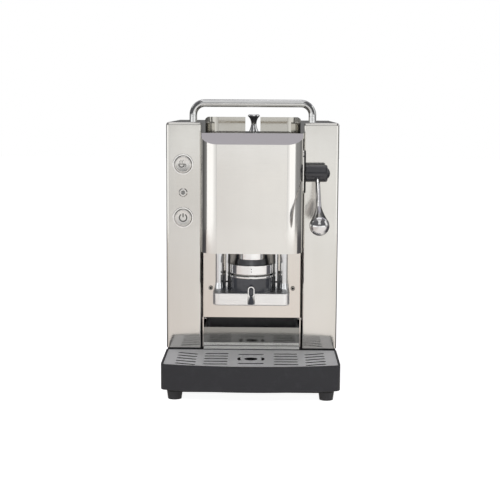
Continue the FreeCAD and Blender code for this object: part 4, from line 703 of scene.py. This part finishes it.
def inlay_bar(shape, centre, x0, x1, z0, z1):
    """Adds a flat bar, placed from the centre."""
    block(shape, centre + Vector((x0, MARK_FRONT, z0)), centre + Vector((x1, MARK_BACK, z1)))


def make_power_mark():
    """Broken ring and bar, the usual sign for on and off."""
    centre = front_centre("power_button")
    shape = bmesh.new()
    inlay_ring(shape, centre, radius=4.5 * MM, width=1.35 * MM, start=122, end=418)
    inlay_bar(shape, centre, x0=-0.68 * MM, x1=0.68 * MM, z0=0.6 * MM, z1=5.4 * MM)
    add_piece("power_mark", shape, "mark", "power_button", sharp=40)


def make_cup_mark():
    """Small cup with a handle and two lines of steam."""
    centre = front_centre("brew_button") + Vector((-1.6 * MM, 0, -0.2 * MM))
    shape = bmesh.new()
    inlay_bar(shape, centre, x0=-4.0 * MM, x1=3.6 * MM, z0=0.1 * MM, z1=1.1 * MM)
    bowl = centre + Vector((-0.2 * MM, 0, 0.1 * MM))
    inlay_ring(shape, bowl, radius=3.2 * MM, width=1.2 * MM, start=180, end=360)
    handle = centre + Vector((3.6 * MM, 0, -0.8 * MM))
    inlay_ring(shape, handle, radius=1.6 * MM, width=0.8 * MM, start=-80, end=80)
    for x in (-1.6 * MM, 1.2 * MM):
        for rise, turn in ((3.4 * MM, 0), (5.2 * MM, 180)):
            inlay_ring(shape, centre + Vector((x, 0, rise)), radius=0.9 * MM, width=0.5 * MM,
                       start=90 + turn, end=270 + turn, front=MARK_FRONT + 0.08 * MM)
    add_piece("cup_mark", shape, "mark", "brew_button", sharp=40)


def make_ring_hole_shades():
    """Two small blind holes in the front of the press ring, as dark discs of painted shade."""
    centre = front_centre("press_ring")
    outline = [(0, 0), (HOLE_RADIUS, 0), (1.1 * HOLE_RADIUS, DISC_THICK), (0, DISC_THICK)]
    shape = bmesh.new()
    for height in (HOLE_HEIGHT, -HOLE_HEIGHT):
        turned(shape, outline, centre + Vector((0, -DISC_PROUD, height)), steps=20)
    # The ink finish here paints the shade inside the two holes
    add_piece("ring_hole_shades", shape, "mark", "press")


# Studio, in metres: bright metal mirrors the cards, and no camera sees them

AMBIENT = 0.62
KEY_PLACE = Vector((-0.5, -1.5, 1.7))
KEY_AIM = Vector((0, 0, 0.18))
KEY_SIZE = (1.2, 0.8)
KEY_POWER = 12
FLOOR_SEEN = (0.92, 0.92, 0.92)
FLOOR_PALE = (0.80, 0.80, 0.80)
FLOOR_SIDE = (0.25, 0.245, 0.26)
# What metal mirrors of the floor far from the object and near it, each left and right
FLOOR_FAR = ((0.37, 0.35, 0.335), (0.51, 0.50, 0.48))
FLOOR_NEAR = ((0.35, 0.295, 0.255), (0.56, 0.525, 0.49))
# Stretches over which the floor's tone changes
LEFT_TO_RIGHT = (-0.2, 0.02)
FAR_TO_NEAR = (-1.5, -0.45)
BESIDE = (0.17, 0.3)
BESIDE_FROM = (-0.25, -0.1)
FLOOR_HALF = 6
WHITE = (1, 1, 1)
BLACK = (0, 0, 0)
WALL_RADIUS = 1.9
WALL_CENTRE_Y = -0.1
# Heights: low cards in front, low cards at the sides, foot of the front light, ceiling
EYE = 0.36
SIDE_HEIGHT = 1.2
LIGHT_FOOT = 0.95
CEILING = 1.75
# How far round a card still counts as one in front
FRONT_ANGLE = 80
SHADE = (0.13, 0.13, 0.135)
DIM = (0.17, 0.165, 0.17)
LIGHT = (0.88, 0.88, 0.88)

# Low cards round the object, from the left to the right: where each starts, and its tone
LEFT_CARDS = ((-170, 0.12), (-112, 0.17), (-98, 0.25), (-86, 0.38), (-80, 1.3), (-34, 1.15),
              (-27, 1.0), (-20, 0.9), (-13, 0.76), (-8, None))
RIGHT_CARDS = ((8.5, 0.80), (12, 0.95), (18, 1.1), (25, 1.3), (66, 0.42), (76, 0.31),
               (104, 0.25), (138, None))
# Higher cards in front: their first and last angle
UPPER_CARDS = ((-100, -60), (-60, -16), (16, 60), (60, 76))
# Cards overhead: name, left and right ends, front and back ends, and tone
OVERHEAD = (
    ("hood_left", -1.9, -0.4, -1.95, -0.6, SHADE),
    ("hood_light", -0.4, 0.4, -1.95, -0.6, LIGHT),
    ("hood_right", 0.4, 1.9, -1.95, -0.6, SHADE),
    ("ceiling_left", -1.9, -0.6, -0.6, 0.55, DIM),
    ("ceiling", -0.6, 0.6, -0.6, 0.55, (0.62, 0.61, 0.62)),
    ("ceiling_right", 0.6, 1.9, -0.6, 0.55, DIM))


def add_key_light():
    """Soft light from the front left, which no metal mirrors."""
    data = bpy.data.lights.new("key", "AREA")
    data.shape = "RECTANGLE"
    data.size, data.size_y = KEY_SIZE
    data.energy = KEY_POWER
    light = bpy.data.objects.new("key", data)
    bpy.context.scene.collection.objects.link(light)
    light.location = KEY_PLACE
    light.rotation_euler = (KEY_AIM - KEY_PLACE).to_track_quat("-Z", "Y").to_euler()
    light.visible_glossy = False


def add_card(name, corners, tone):
    """Plain panel beside or above the object, of one tone."""
    shape = bmesh.new()
    shape.faces.new([shape.verts.new(corner) for corner in corners])
    card = make_object(name, shape)
    card.visible_camera = False
    finish = Finish(name + "_finish", Base_Color=BLACK, Roughness=1.0, Specular_IOR_Level=0.0,
                    Emission_Color=tone, Emission_Strength=1.0)
    card.data.materials.append(finish.material)


def around(degrees):
    """Place on a circle round the object, the angle counted from the front to the right."""
    turn = math.radians(degrees)
    return WALL_RADIUS * math.sin(turn), WALL_CENTRE_Y - WALL_RADIUS * math.cos(turn)


def wall(name, start, end, low, high, tone):
    """Upright card between two angles round the object."""
    (x0, y0), (x1, y1) = around(start), around(end)
    add_card(name, [(x0, y0, low), (x1, y1, low), (x1, y1, high), (x0, y0, high)], tone)


def overhead(name, left, right, front, back, tone, height=CEILING, rise=0.0):
    """Card above the object, level or rising to the back."""
    add_card(name, [(left, front, height), (right, front, height),
                    (right, back, height + rise), (left, back, height + rise)], tone)


def add_floor():
    """Pale floor, near white to the camera, with plain tones for what metal mirrors of it."""
    shape = bmesh.new()
    bmesh.ops.create_grid(shape, x_segments=1, y_segments=1, size=FLOOR_HALF)
    floor = make_object("floor", shape)
    finish = Finish("floor_pale", Roughness=0.9, Specular_IOR_Level=0.0, Emission_Strength=1.0)
    camera_ray = finish.node("ShaderNodeLightPath", output="Is Camera Ray")
    glossy_ray = finish.node("ShaderNodeLightPath", output="Is Glossy Ray")
    across, ahead = finish.along("X"), finish.along("Y")
    right = finish.spread(across, 0, 1, *LEFT_TO_RIGHT)
    near = finish.spread(ahead, 0, 1, *FAR_TO_NEAR)
    beside = finish.spread(finish.maths("ABSOLUTE", across, 0), 0, 1, *BESIDE) \
        * finish.spread(ahead, 0, 1, *BESIDE_FROM)
    finish.set("Base Color", finish.mix(beside, FLOOR_PALE, FLOOR_SIDE))
    front = finish.mix(near, finish.mix(right, *FLOOR_FAR), finish.mix(right, *FLOOR_NEAR))
    mirrored = finish.mix(beside, front, BLACK)
    seen = finish.mix(camera_ray, BLACK, finish.mix(beside, FLOOR_SEEN, WHITE))
    finish.set("Emission Color", finish.mix(glossy_ray, seen, mirrored))
    floor.data.materials.append(finish.material)


def add_world():
    """Plain white to the camera and to what metal and glass show, and soft light elsewhere."""
    world = bpy.data.worlds.new("studio")
    bpy.context.scene.world = world
    world.use_nodes = True
    nodes, links = world.node_tree.nodes, world.node_tree.links
    nodes.clear()
    path = nodes.new("ShaderNodeLightPath")
    shown = path.outputs["Is Camera Ray"]
    for ray in ("Is Glossy Ray", "Is Transmission Ray"):
        most = nodes.new("ShaderNodeMath")
        most.operation = "MAXIMUM"
        links.new(shown, most.inputs[0])
        links.new(path.outputs[ray], most.inputs[1])
        shown = most.outputs[0]
    level = nodes.new("ShaderNodeMapRange")
    level.inputs["To Min"].default_value = AMBIENT
    level.inputs["To Max"].default_value = 1.0
    links.new(shown, level.inputs["Value"])
    light = nodes.new("ShaderNodeBackground")
    light.inputs["Color"].default_value = (*WHITE, 1)
    links.new(level.outputs[0], light.inputs["Strength"])
    out = nodes.new("ShaderNodeOutputWorld")
    links.new(light.outputs[0], out.inputs["Surface"])


def add_studio():
    """Low cards are mirrored by upright faces, high ones by what looks up."""
    add_key_light()
    for side, cards in (("left", LEFT_CARDS), ("right", RIGHT_CARDS)):
        for (start, tone), (end, _) in zip(cards, cards[1:]):
            high = EYE if min(abs(start), abs(end)) <= FRONT_ANGLE else SIDE_HEIGHT
            wall("%s_%d" % (side, abs(start)), start, end, 0.0, high, (tone, tone, tone))
    for index, (start, end) in enumerate(UPPER_CARDS):
        wall("upper_%d" % index, start, end, EYE, CEILING, SHADE)
    wall("upper_front", -16, 16, low=EYE, high=LIGHT_FOOT, tone=(0.17, 0.17, 0.175))
    wall("front_light", -16, 16, low=LIGHT_FOOT, high=CEILING, tone=LIGHT)
    for card in OVERHEAD:
        overhead(*card)
    overhead("top_light", left=-0.5, right=0.5, front=0.2, back=0.45, tone=(2.0, 2.0, 2.0),
             height=CEILING - 0.01)
    overhead("rear_ceiling", left=-1.9, right=1.9, front=0.55, back=3.2,
             tone=(0.545, 0.53, 0.585), rise=0.4)
    wall("table_edge", -12, 12, low=0.2895, high=0.2955, tone=(0.36, 0.31, 0.24))
    wall("behind", 142, 218, low=0.1, high=1.7, tone=(0.17, 0.17, 0.17))


add_camera()
make_steels()
make_other_metals()
make_plastics()
make_rubbers_and_board()
dress_nodes()
make_shroud()
make_button("brew_button")
make_button("power_button")
make_power_mark()
make_cup_mark()
make_bezels()
make_ring_hole_shades()
add_floor()
add_world()
add_studio()

bpy.context.scene.view_settings.view_transform = "Standard"
bpy.context.view_layer.update()
